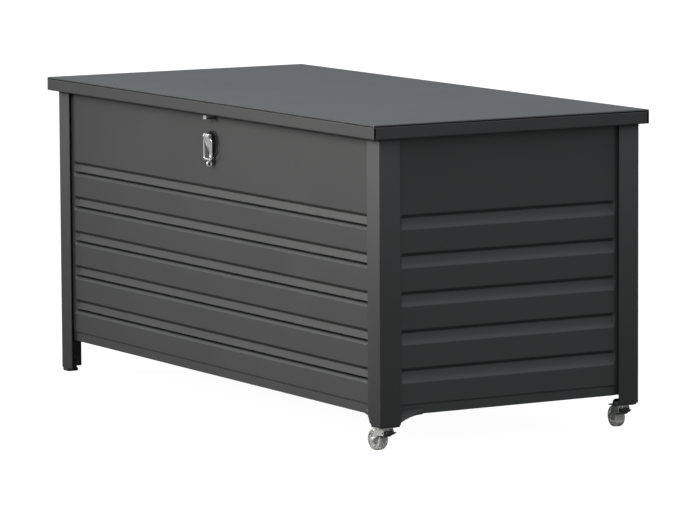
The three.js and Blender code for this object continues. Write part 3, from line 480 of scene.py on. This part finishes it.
def lathe(name, profile, axis, centre, finish, body, steps, replaces=()):
    """Turns a closed profile of (radius, along) about an axis through the centre."""
    turn = Vector((0, 0, 1)).rotation_difference(Vector(axis)).to_matrix()
    points = []
    for i in range(steps):
        angle = 2 * math.pi * i / steps
        for radius, along in profile:
            spot = Vector((radius * math.cos(angle), radius * math.sin(angle), along))
            points.append(turn @ spot + Vector(centre))
    count = len(profile)
    faces = []
    for i in range(steps):
        for j in range(count):
            a, b = i * count + j, ((i + 1) % steps) * count + j
            c, d = ((i + 1) % steps) * count + (j + 1) % count, i * count + (j + 1) % count
            faces.append((a, b, c, d))
    made = add_piece(name, points, faces, finish, body, replaces)
    tidy_mesh(made)
    return made


def tidy_mesh(made):
    """Joins doubled points and turns every face outwards."""
    shape = bmesh.new()
    shape.from_mesh(made.data)
    bmesh.ops.remove_doubles(shape, verts=shape.verts, dist=0.002 * MM)
    bmesh.ops.recalc_face_normals(shape, faces=shape.faces)
    shape.to_mesh(made.data)
    shape.free()


def loft(name, loops, finish, body, replaces=(), smooth=True):
    """A closed solid through loops of points, capped at both ends."""
    count = len(loops[0])
    points = [p for loop in loops for p in loop]
    faces = [tuple(range(count))]
    for i in range(len(loops) - 1):
        for j in range(count):
            a, b = i * count + j, i * count + (j + 1) % count
            faces.append((a, b, b + count, a + count))
    faces.append(tuple(range((len(loops) - 1) * count, len(loops) * count)))
    tidy_mesh(add_piece(name, points, faces, finish, body, replaces, smooth))


# ---------------------------------------------------------------- wall panels
PANEL_BOTTOM = PANEL_LOW.z
PANEL_TOP = PANEL_HIGH.z
RIB_COUNT = 5
FIRST_RIB = 452.5 * MM  # upper edge of the highest groove
RIB_PITCH = 73.7 * MM
GROOVE_REACH = 30 * MM  # from a groove's upper edge to just past its lower one
GROOVE_CLEAR = 4 * MM
GROOVE_RUNOUT = 9 * MM
RUNOUT_STEPS = 6
FOOT_STEP = 2 * MM  # the step along a wall's lower edge: its depth, and where it starts and ends
STEP_LOW = 18 * MM
STEP_HIGH = 21 * MM
SHEET_GAP = 0.3 * MM
TUCKED_BEHIND = 0.5 * MM  # the part counted as visible goes this far behind the post's leg
BEHIND_POST = 24 * MM  # how far a wall runs flat behind a post before it folds forward to it
END_WALL_SHORT = 4.5 * MM
# A groove's section from its upper edge down: (down, depth), in millimetres. The long walls have a
# second, narrow crease low in the groove.
CREASED_GROOVE = [(-1.4, 0), (5.4, 8.4), (20.4, 5.6), (20.8, 17.0), (24.2, 17.0), (24.6, 3.2), (29.0, 0)]
PLAIN_GROOVE = [(-1.4, 0), (5.4, 8.0), (17.5, 5.0), (21.5, 3.6), (28.0, 0)]


def panel_section(groove):
    """(height, depth) from the lower flange's inner edge up to the upper flange's."""
    lower = [
        (PANEL_BOTTOM, PANEL_RIM),
        (PANEL_BOTTOM, FOOT_STEP),
        (PANEL_BOTTOM + STEP_LOW, FOOT_STEP),
        (PANEL_BOTTOM + STEP_HIGH, 0),
    ]
    ribs = []
    for rib in reversed(range(RIB_COUNT)):
        top = FIRST_RIB - rib * RIB_PITCH
        ribs += [(top - down * MM, depth * MM) for down, depth in reversed(groove)]
    upper = [(PANEL_TOP, 0), (PANEL_TOP, PANEL_RIM)]
    return rounded(lower + ribs + upper, 0.9 * MM, steps=3)


def in_ribs(height):
    """Whether a height lies in the ribbed part of a wall, whose grooves run out near the posts."""
    lowest = FIRST_RIB - (RIB_COUNT - 1) * RIB_PITCH - GROOVE_REACH
    return lowest < height < FIRST_RIB + 3 * MM


def wall_sheet(name, node, groove, half_visible, reach, place):
    """A ribbed wall between two posts, with flat ends that fold forward behind them.

    place turns (along, depth) into a spot in plan.
    """
    section = panel_section(groove)
    half_field = half_visible - GROOVE_CLEAR
    ends = [half_field - GROOVE_RUNOUT * (1 - k / RUNOUT_STEPS) for k in range(RUNOUT_STEPS + 1)]
    field = [-u for u in reversed(ends)] + [-half_field / 2, 0, half_field / 2] + ends
    points = []
    for u in field:
        fade = smoothstep((half_field - abs(u)) / GROOVE_RUNOUT)
        for height, depth in section:
            x, y = place(u, depth * fade if in_ribs(height) else depth)
            points.append((x, y, height))
    faces = grid_faces(len(field), len(section))
    fold = RECESS - POST_SHEET - SHEET_GAP
    hidden = half_visible + BEHIND_POST
    side_path = [(half_field, 0), (hidden, 0), (hidden + 3 * MM, -fold), (reach, -fold)]
    side_path = rounded(side_path, 1.2 * MM, steps=3)
    heights = [PANEL_BOTTOM + rise for rise in (0.5 * MM, STEP_LOW, STEP_HIGH)] + [PANEL_TOP]
    for side in (1, -1):
        path = side_path if side > 0 else side_path[::-1]
        first = len(points)
        for u, depth in path:
            for height in heights:
                inset = FOOT_STEP if height < PANEL_BOTTOM + STEP_HIGH else 0
                x, y = place(side * u, depth + inset)
                points.append((x, y, height))
        faces += grid_faces(len(path), len(heights), first)
    made = add_piece(name, points, faces, ANTHRACITE, "box", [node])
    thicken(made, PANEL_SHEET)


def make_walls():
    """Four walls. The end walls stop short of the long ones' folds."""
    half_front = RIGHT - POST_LEG + TUCKED_BEHIND
    half_end = (BACK - FRONT) / 2 - POST_LEG + TUCKED_BEHIND
    end_reach = (BACK - FRONT) / 2 - END_WALL_SHORT
    face = RIGHT - RECESS
    walls = (
        ("front_wall_sheet", "front_panel", CREASED_GROOVE, lambda u, d: (u, FRONT + RECESS + d)),
        ("back_wall_sheet", "back_panel", CREASED_GROOVE, lambda u, d: (-u, BACK - RECESS - d)),
        ("right_end_sheet", "right_end_panel", PLAIN_GROOVE, lambda u, d: (face - d, MIDDLE + u)),
        ("left_end_sheet", "left_end_panel", PLAIN_GROOVE, lambda u, d: (d - face, MIDDLE - u)),
    )
    for name, node, groove, place in walls:
        half_visible, reach = (half_end, end_reach) if "end" in name else (half_front, face)
        wall_sheet(name, node, groove, half_visible, reach, place)


# ---------------------------------------------------------------- corner posts and feet
TAPER_HEIGHT = 14 * MM
TAPER_WIDTH = 9 * MM  # how much narrower a castor post's front or back leg is at its lower end
TAPER_STEPS = 12
CORNER_ROUNDING = 4 * MM
ROUNDING_HEIGHT = CORNER_ROUNDING * 0.7


def post_plan():
    """An angle's outer path in plan, from the end of one leg round the bend to the other's."""
    stations = [POST_LEG - TAPER_WIDTH * k / TAPER_STEPS for k in range(TAPER_STEPS * 3 // 2 + 1)]
    bend_start = POST_BEND * 1.2
    bend = rounded([(bend_start, 0), (0, 0), (0, bend_start)], POST_BEND, steps=8)
    return [(d, 0.0) for d in stations] + bend + [(0.0, d) for d in reversed(stations)]


def castor_post_bottom(x, y):
    """The lower edge of a castor post: its front or back leg narrows, and its corners are rounded."""
    if x > y:
        straight = POST_LEG - TAPER_WIDTH
        rise = TAPER_HEIGHT * smoothstep((x - straight) / TAPER_WIDTH)
        start = straight - CORNER_ROUNDING
    else:
        rise = 0
        start = POST_LEG - CORNER_ROUNDING
    past = min(max((max(x, y) - start) / CORNER_ROUNDING, 0), 1)
    rounding = ROUNDING_HEIGHT * (1 - math.sqrt(1 - past * past))
    return CASTOR_POST_BOTTOM + max(rise, rounding)


def post_sheet(name, node, corner_x, corner_y, sx, sy, on_castor):
    """One corner angle. Its legs run from the corner along sx in X and sy in Y."""
    plan = post_plan()
    rows = 3
    points = []
    for x, y in plan:
        bottom = castor_post_bottom(x, y) if on_castor else FOOT_POST_BOTTOM
        for k in range(rows):
            height = bottom + (POST_TOP - bottom) * k / (rows - 1)
            points.append((corner_x + sx * x, corner_y + sy * y, height))
    faces = grid_faces(len(plan), rows)
    if sx * sy > 0:
        faces = [face[::-1] for face in faces]
    made = add_piece(name, points, faces, ANTHRACITE, "box", [node])
    thicken(made, POST_SHEET)
    ease_edges(made, 0.35 * MM, 50)


def make_posts():
    """A corner angle at each corner. The castors are at the right-hand end."""
    for end, x, sx in (("left", -RIGHT, 1), ("right", RIGHT, -1)):
        for side, y, sy in (("front", FRONT, 1), ("back", BACK, -1)):
            corner = side + "_" + end
            post_sheet("corner_angle_" + corner, "post_" + corner, x, y, sx, sy, end == "right")


def rounded_square(half, radius, centre, height, steps=5):
    """A loop of points round a square with round corners."""
    loop = []
    for quarter in range(4):
        for k in range(steps + 1):
            angle = math.pi / 2 * (quarter + k / steps)
            sign_x = 1 if quarter in (0, 3) else -1
            sign_y = 1 if quarter in (0, 1) else -1
            x = centre[0] + sign_x * (half - radius) + radius * math.cos(angle)
            y = centre[1] + sign_y * (half - radius) + radius * math.sin(angle)
            loop.append((x, y, height))
    return loop


FOOT_CORNER = 6.2 * MM


def make_feet():
    """Push-in plastic feet: a cap with a rounded sole under the post, and a ribbed plug inside it."""
    # height and inset of each loop from the widest part, in millimetres
    cap = [(0, 3.2), (0.3, 1.8), (1.2, 0.5), (2.4, 0.0), (6.0, 0.0), (6.5, 0.3), (6.7, 0.8)]
    plug = [(6.9, 2.6)]
    for rib in (12.0, 19.0):
        plug += [(rib, 2.4), (rib + 0.6, 1.9), (rib + 1.6, 1.9), (rib + 2.2, 2.4)]
    plug += [(29.0, 2.6), (29.8, 3.4)]
    for side in ("front", "back"):
        low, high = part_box("foot_" + side + "_left")
        centre = ((low.x + high.x) / 2, (low.y + high.y) / 2)
        half = (high.x - low.x) / 2
        loops = [
            rounded_square(half - inset * MM, FOOT_CORNER - inset * MM, centre, height * MM)
            for height, inset in cap + plug
        ]
        loft("plastic_foot_" + side, loops, BLACK_PLASTIC, "box", ["foot_" + side + "_left"])


# ---------------------------------------------------------------- lid
LID_SHEET = 0.96 * MM
SKIRT_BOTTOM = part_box("lid_skin")[0].z
LID_TOP = LID_HIGH.z
LID_BEND = 2.2 * MM
CORNER_SEAM = 4.5 * MM  # open joint where a skirt meets its neighbour at a corner
SEAM_TOP = LID_TOP - 4 * MM  # the seams stop here, under the welded corner
HEM_BACK = 8 * MM
HEM_SHORT = 12 * MM  # the turned-in hem stops this far from the corner
NOTCH = 4 * MM  # depth of the folded line between the skirts and the top
TOP_INSET = 4.1 * MM  # the flat top's edge, in from the skirts' faces
EASED = 0.45 * MM
TUCK = 0.001  # share of the flat top by which its underside draws in


def skirt_section():
    """(outwards, height) from the hem's inner edge round the skirt to the crease beside the flat top."""
    hem = [(-HEM_BACK, SKIRT_BOTTOM + 1.3 * MM), (-3 * MM, SKIRT_BOTTOM + 0.4 * MM)]
    roll = [(-1.2 * MM, SKIRT_BOTTOM), (-0.2 * MM, SKIRT_BOTTOM + 0.7 * MM), (0, SKIRT_BOTTOM + 2.2 * MM)]
    face = [(0, SKIRT_BOTTOM + 3.2 * MM), (0, SEAM_TOP - 1.8 * MM), (0, SEAM_TOP - 0.6 * MM)]
    notch = [(-NOTCH, SEAM_TOP - 0.5 * MM), (-NOTCH, SEAM_TOP + 1.5 * MM), (0, SEAM_TOP + 1.6 * MM)]
    bend = [
        (-LID_BEND * (1 - math.cos(a)), LID_TOP - LID_BEND * (1 - math.sin(a)))
        for a in (math.radians(90 * k / 6) for k in range(7))
    ]
    crease = [(-3.0 * MM, LID_TOP), (-3.5 * MM, LID_TOP - 0.9 * MM), (-4.4 * MM, LID_TOP - 0.9 * MM)]
    return hem + roll + face + notch + bend + crease


def skirt_strip(half_length, half_width, open_ends, place):
    """One skirt with its share of the bend. place turns (along, outwards, height) into a point."""
    section = skirt_section()
    ends = []
    for outwards, height in section:
        if height > SEAM_TOP - 1 * MM:
            ends.append(half_length + outwards)
        elif outwards < -2 * MM:
            ends.append(half_length - HEM_SHORT)
        else:
            ends.append(half_length - (CORNER_SEAM if open_ends else 0))
    stations = [-1, -0.99, -0.5, 0, 0.5, 0.99, 1]
    points = []
    for station in stations:
        for (outwards, height), end in zip(section, ends):
            if outwards == -NOTCH and abs(station) == 1:
                outwards, end = 0, half_length
            points.append(place(station * end, half_width + outwards, height))
    return points, grid_faces(len(stations), len(section))


def make_lid():
    """The folded skirts with their bends as one piece, and the flat top between them."""
    half_x, half_y = LID_HIGH.x, LID_HIGH.y
    sides = (
        (half_x, half_y, False, lambda along, out, z: (along, -out, z)),
        (half_x, half_y, False, lambda along, out, z: (-along, out, z)),
        (half_y, half_x, True, lambda along, out, z: (out, along, z)),
        (half_y, half_x, True, lambda along, out, z: (-out, -along, z)),
    )
    points, faces = [], []
    for half_length, half_width, open_ends, place in sides:
        strip_points, strip_faces = skirt_strip(half_length, half_width, open_ends, place)
        faces += [tuple(i + len(points) for i in face) for face in strip_faces]
        points += strip_points
    made = add_piece("folded_lid_skirts", points, faces, ANTHRACITE, "lid", ["lid_skin"])
    thicken(made, LID_SHEET)

    corners = ((-1, -1), (1, -1), (1, 1), (-1, 1))
    half_x -= TOP_INSET
    half_y -= TOP_INSET
    loops = []
    tucked = (half_x * TUCK, half_y * TUCK)
    levels = ((1.1, tucked), (1.0, (0, 0)), (0.4, (0, 0)), (0, (EASED, EASED)))
    for down, (cut_x, cut_y) in levels:
        height = LID_TOP - down * MM
        loops.append([(sx * (half_x - cut_x), sy * (half_y - cut_y), height) for sx, sy in corners])
    loft("lid_top_sheet", loops, ANTHRACITE, "lid", ["lid_skin"], smooth=False)


# ---------------------------------------------------------------- castors
def joint_named(name):
    return next(joint for joint in frame["record"]["behaviour"]["joints"] if joint["name"] == name)


def make_castor_wheels():
    """A clear soft tyre with moulded rings on its faces, and a pale hub."""
    # radius, distance from the wheel's middle plane, in millimetres, from the bore out
    tyre_half = [(9.6, 0), (9.6, 6.6), (10.4, 7.6), (11.6, 7.7), (12.2, 8.8), (13.4, 8.8), (14.0, 8.2)]
    tyre_half += [(15.2, 8.2), (15.8, 9.9), (17.6, 10.2), (19.4, 9.5), (20.7, 7.6), (21.3, 5.0), (21.5, 2.2)]
    hub_half = [(3.2, 0), (3.2, 10.9), (4.6, 10.9), (5.2, 10.2), (6.6, 10.1), (7.2, 8.4)]
    hub_half += [(8.6, 7.9), (9.4, 7.0)]
    for side in ("front", "back"):
        roll = joint_named("castor_roll_" + side)
        body = "castor_wheel_" + side
        for name, half, finish, replaced in (
            ("castor_tyre_", tyre_half, TYRE, [body]),
            ("castor_hub_", hub_half, HUB, ()),
        ):
            profile = half + [(r, -a) for r, a in reversed(half) if a > 0]
            profile = [(r * MM, a * MM) for r, a in profile]
            made = lathe(name + side, profile, roll["axis"], roll["pos_m"], finish, body, 56, replaced)
            ease_edges(made, 0.25 * MM, 24)


# ---------------------------------------------------------------- latch and hinge trim
BAIL_WIRE = 1.9 * MM
BAIL_TIP = 8 * MM  # the loop's ends turn in to here
BAIL_CORNER = 6 * MM
LATCH_SHADOW_HALF = 19.5 * MM  # the flat black plate behind the latch: painted shadow, standing in for the latch's cast shadow on the wall
LATCH_SHADOW_CORNER = 8 * MM
LATCH_SHADOW_TALL = 1.2  # its height over its width
LATCH_SHADOW_RISE = 8 * MM  # its middle over the latch base's middle
EYE_RING = 4.75 * MM
EYE_WIRE = 2 * MM
EYE_UP = 4.2 * MM  # the eye's centre over the latch base's lower end
EYE_BACK = 8.5 * MM  # and behind the base's foremost point
HOOK_TIP_HALF = 5.9 * MM
HOOK_TIP_DEEP = 1.6 * MM
HOOK_TIP_TALL = 7 * MM
RIVET_MARGIN = 4 * MM  # from the black shadow plate's edges to its rivets
LEAF_OUT = 2.3 * MM  # a hinge leaf's outer face over the back wall's
SCREW_INSET = 12 * MM
SCREW_RISES = (11 * MM, 29 * MM)  # over the leaf's lower edge


def make_latch_bail():
    """A sprung wire loop with round corners, whose ends turn in at the lever."""
    low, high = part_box("latch_bail")
    y = high.y - BAIL_WIRE
    half = high.x - BAIL_WIRE
    bottom = low.z + BAIL_WIRE
    top = high.z - BAIL_WIRE
    right = [(half, bottom), (half, top), (BAIL_TIP, top)]
    left = [(-x, z) for x, z in reversed(right)]
    path = rounded(left + right, BAIL_CORNER, 6)
    curve = bpy.data.curves.new("latch_wire_loop", "CURVE")
    curve.dimensions = "3D"
    curve.bevel_depth = BAIL_WIRE
    curve.bevel_resolution = 4
    curve.use_fill_caps = True
    spline = curve.splines.new("POLY")
    spline.points.add(len(path) - 1)
    for point, (x, z) in zip(spline.points, path):
        point.co = (x, y, z, 1)
    curve.materials.append(CHROME)
    made = bpy.data.objects.new("latch_wire_loop", curve)
    bpy.context.scene.collection.objects.link(made)
    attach(made, "latch_bail")
    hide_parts("latch_bail")


def make_latch_trim():
    """What sits round the latch base: a flat black plate with rivets behind it, a painted shadow that stands
    in for the latch's cast shadow on the wall, and the padlock eye.
    """
    panel = FRONT + RECESS
    low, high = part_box("latch_base")
    centre = (low.z + high.z) / 2 + LATCH_SHADOW_RISE
    # Painted shadow: a flat black plate on the wall where the latch casts its shadow.
    shadow_plate = []
    for inset, out in ((0, 0.1), (0, 0.9), (0.3, 1.3), (0.9, 1.5)):
        outline = rounded_square(LATCH_SHADOW_HALF - inset * MM, LATCH_SHADOW_CORNER, (0, 0), 0)
        shadow_plate.append([(x, panel - out * MM, centre + z * LATCH_SHADOW_TALL) for x, z, _ in outline])
    loft("latch_painted_shadow", shadow_plate, LATCH_SHADOW_BLACK, "box")

    eye = [(EYE_RING + EYE_WIRE * math.cos(a), EYE_WIRE * math.sin(a)) for a in circle_angles(12)]
    eye_centre = (0, low.y + EYE_BACK, low.z + EYE_UP)
    lathe("padlock_eye", eye, (1, 0, 0), eye_centre, CHROME, "box", 28)
    across = LATCH_SHADOW_HALF - RIVET_MARGIN
    up = LATCH_SHADOW_HALF * LATCH_SHADOW_TALL - RIVET_MARGIN
    for side in (-1, 1):
        for row in (-1, 1):
            spot = (side * across, panel - 1.4 * MM, centre + row * up)
            rivet(f"latch_rivet_{side}_{row}", spot, (0, -1, 0), 1.7 * MM, BLACK_ENAMEL_AND_SHADE, "box")


def make_catch_trim():
    """A plated tip over the catch's upturned hook, and the rivets in its bracket."""
    low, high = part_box("latch_catch")
    tip = []
    for station, grow in ((-1, -0.3), (-0.94, 0.25), (0.94, 0.25), (1, -0.3)):
        front = low.y - grow * MM
        back = low.y + HOOK_TIP_DEEP + grow * MM
        bottom = low.z - grow * MM
        top = low.z + HOOK_TIP_TALL + grow * MM
        outline = [(front, bottom), (back, bottom), (back, top), (front, top)]
        tip.append([(station * HOOK_TIP_HALF, y, z) for y, z in outline])
    loft("hook_tip", tip, CHROME, "lid", smooth=False)
    for side in (-1, 1):
        spot = (side * 10.5 * MM, high.y - 1.5 * MM, low.z + 6 * MM)
        rivet(f"catch_rivet_{side}", spot, (0, -1, 0), 1.6 * MM, BLACK_ENAMEL_AND_SHADE, "lid")


def circle_angles(count):
    return [2 * math.pi * k / count for k in range(count)]


def rivet(name, foot, axis, radius, finish, body):
    """A low domed head standing on a face, round an axis that points away from it."""
    height = radius * 0.62
    middle = 0.02 * MM  # a hole too small to see keeps the profile off the axis
    dome = [(radius * math.cos(a), height * math.sin(a)) for a in (0, 0.4, 0.8, 1.15)]
    profile = [(middle, 0)] + dome + [(middle, height)]
    lathe(name, profile, axis, foot, finish, body, 20)


def make_hinge_screws():
    """Four domed screws through each hinge's body leaf into the back wall."""
    leaf_face = BACK - RECESS + LEAF_OUT
    radius = 3.2 * MM
    for hinge in (1, 2, 3):
        low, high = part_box(f"hinge_body_leaf_{hinge}")
        for column, x in enumerate((low.x + SCREW_INSET, high.x - SCREW_INSET)):
            for row, rise in enumerate(SCREW_RISES):
                name = f"hinge_screw_{hinge}_{column}_{row}"
                rivet(name, (x, leaf_face, low.z + rise), (0, 1, 0), radius, ZINC, "box")


# ---------------------------------------------------------------- CAD nodes that keep their shape
def keep_shape(node, finish, edge=0.25):
    """Gives a CAD node its finish and takes the sharpness off its edges."""
    made = NODES[node]
    made.data.materials.clear()
    made.data.materials.append(finish)
    made.data.polygons.foreach_set("use_smooth", [True] * len(made.data.polygons))
    weld = made.modifiers.new("joined points", "WELD")
    weld.merge_threshold = 0.005 * MM
    ease_edges(made, edge * MM)


def keep_shapes():
    """Every node that no piece above replaces. The first name that fits gives finish and edge."""
    finishes = (
        ("castor_pan_", ANTHRACITE, 0.4),
        ("gusset_", ANTHRACITE, 0.4),
        ("floor_", INNER_PAINT, 0.4),
        ("lid_rib_", INNER_PAINT, 0.4),
        ("lid_buffer_", RUBBER, 0.4),
        ("hinge_", ZINC, 0.3),
        ("strut_tube_", BLACK_ENAMEL_AND_SHADE, 0.4),
        ("strut_rod_", CHROME, 0.3),
        ("strut_", ZINC, 0.3),
        ("latch_pin", ZINC, 0.2),
        # Painted shade: the latch base is black partly as a black plate and partly for the shadow and dark
        # reflection on it. The catch is black partly as a black keeper and partly for its own cast shadow.
        ("latch_base", BLACK_ENAMEL_AND_SHADE, 0.3),
        ("latch_catch", BLACK_ENAMEL_AND_SHADE, 0.3),
        ("latch_", CHROME, 0.35),
        ("castor_pedal_", DARK_PEDAL, 0.4),
        # Painted reflection: the castor metal uses the brightened copy of the zinc.
        ("castor_", CASTOR_ZINC_BRIGHTENED, 0.3),
    )
    replaced = {"latch_bail", "lid_skin", "castor_wheel_front", "castor_wheel_back"}
    for node in sorted(NODES):
        if node in replaced or node.startswith(("post_", "foot_")) or node.endswith("_panel"):
            continue
        for start, finish, edge in finishes:
            if node.startswith(start):
                keep_shape(node, finish, edge)
                break


# ---------------------------------------------------------------- studio
def make_floor():
    """A floor that looks pale when seen straight or through clear plastic, but throws little light back."""
    reach = 60
    glow = 0.97
    mesh = bpy.data.meshes.new("studio_floor")
    corners = [(-reach, -reach, 0), (reach, -reach, 0), (reach, reach, 0), (-reach, reach, 0)]
    mesh.from_pydata(corners, [], [(0, 1, 2, 3)])
    finish = Finish("studio floor paint", Roughness=0.9, Specular_IOR_Level=0.1)
    tone = value_noise(finish.tree, finish.place, 1.5, 2.0)
    finish.feed(
        "Base Color", blend_colours(finish.tree, tone, (0.15, 0.15, 0.145, 1), (0.17, 0.17, 0.165, 1))
    )
    finish.shader.inputs["Emission Color"].default_value = (1, 1, 1, 1)
    rays = finish.tree.nodes.new("ShaderNodeLightPath").outputs
    seen = calculate(finish.tree, "MAXIMUM", rays["Is Camera Ray"], rays["Is Transmission Ray"])
    finish.feed("Emission Strength", calculate(finish.tree, "MULTIPLY", seen, glow))
    mesh.materials.append(finish.material)
    floor = bpy.data.objects.new("studio_floor", mesh)
    bpy.context.scene.collection.objects.link(floor)
    floor.location.z = -0.2 * MM


def area_light(name, place, target, width, height, power, colour=(1, 1, 1)):
    light = bpy.data.lights.new(name, "AREA")
    light.shape = "RECTANGLE"
    light.size = width
    light.size_y = height
    light.energy = power
    light.color = colour
    made = bpy.data.objects.new(name, light)
    made.location = place
    made.rotation_euler = (Vector(target) - Vector(place)).to_track_quat("-Z", "Y").to_euler()
    bpy.context.scene.collection.objects.link(made)


def make_world():
    """An overcast studio: bright overhead, dim at the horizon, a little brighter at the castor end."""
    world = bpy.data.worlds.new("studio")
    bpy.context.scene.world = world
    world.use_nodes = True
    tree = world.node_tree
    place = tree.nodes.new("ShaderNodeTexCoord").outputs["Generated"]
    parts = tree.nodes.new("ShaderNodeSeparateXYZ")
    tree.links.new(place, parts.inputs[0])
    height = spread(tree, parts.outputs["Z"], -0.05, 0.9, 0.37, 1.0)
    end = spread(tree, parts.outputs["X"], -0.3, 0.9, 0.95, 1.2)
    background = tree.nodes["Background"]
    background.inputs["Color"].default_value = (0.90, 0.96, 1.0, 1)
    tree.links.new(calculate(tree, "MULTIPLY", height, end), background.inputs["Strength"])


def make_lights():
    """A small key from the left, whose shadows are crisp, and a wide fill close to the front."""
    area_light("key softbox", (-4.4, -5.0, 2.0), (0, 0, 0.4), 0.7, 0.7, 122, (1.0, 0.98, 0.95))
    area_light("front fill", (0.35, -1.7, 1.35), (0.3, -0.3, 0.6), 1.0, 0.6, 29, (1.0, 0.99, 0.97))


def make_camera():
    """A long lens far off, turned about the box by azimuth and lifted by elevation."""
    azimuth = math.radians(59.7719)
    elevation = math.radians(6.697)
    distance = 9.773
    target = Vector((0, 0, 0.315))
    direction = Vector(
        (
            math.sin(azimuth) * math.cos(elevation),
            -math.cos(azimuth) * math.cos(elevation),
            math.sin(elevation),
        )
    )
    lens = bpy.data.cameras.new("camera")
    lens.sensor_width = 36
    lens.lens = 248.1
    lens.shift_x = 0.0153
    lens.shift_y = -0.0198
    lens.clip_end = 200
    camera = bpy.data.objects.new("camera", lens)
    camera.location = target + direction * distance
    level = (-direction).to_track_quat("-Z", "Y").to_matrix()
    camera.rotation_euler = (level @ Matrix.Rotation(math.radians(-0.329), 3, "Z")).to_euler()
    bpy.context.scene.collection.objects.link(camera)
    bpy.context.scene.camera = camera


make_lid()
make_walls()
make_posts()
make_feet()
make_castor_wheels()
make_latch_bail()
make_latch_trim()
make_catch_trim()
make_hinge_screws()
keep_shapes()
make_floor()
make_world()
make_lights()
make_camera()

bpy.context.scene.view_settings.view_transform = "Standard"
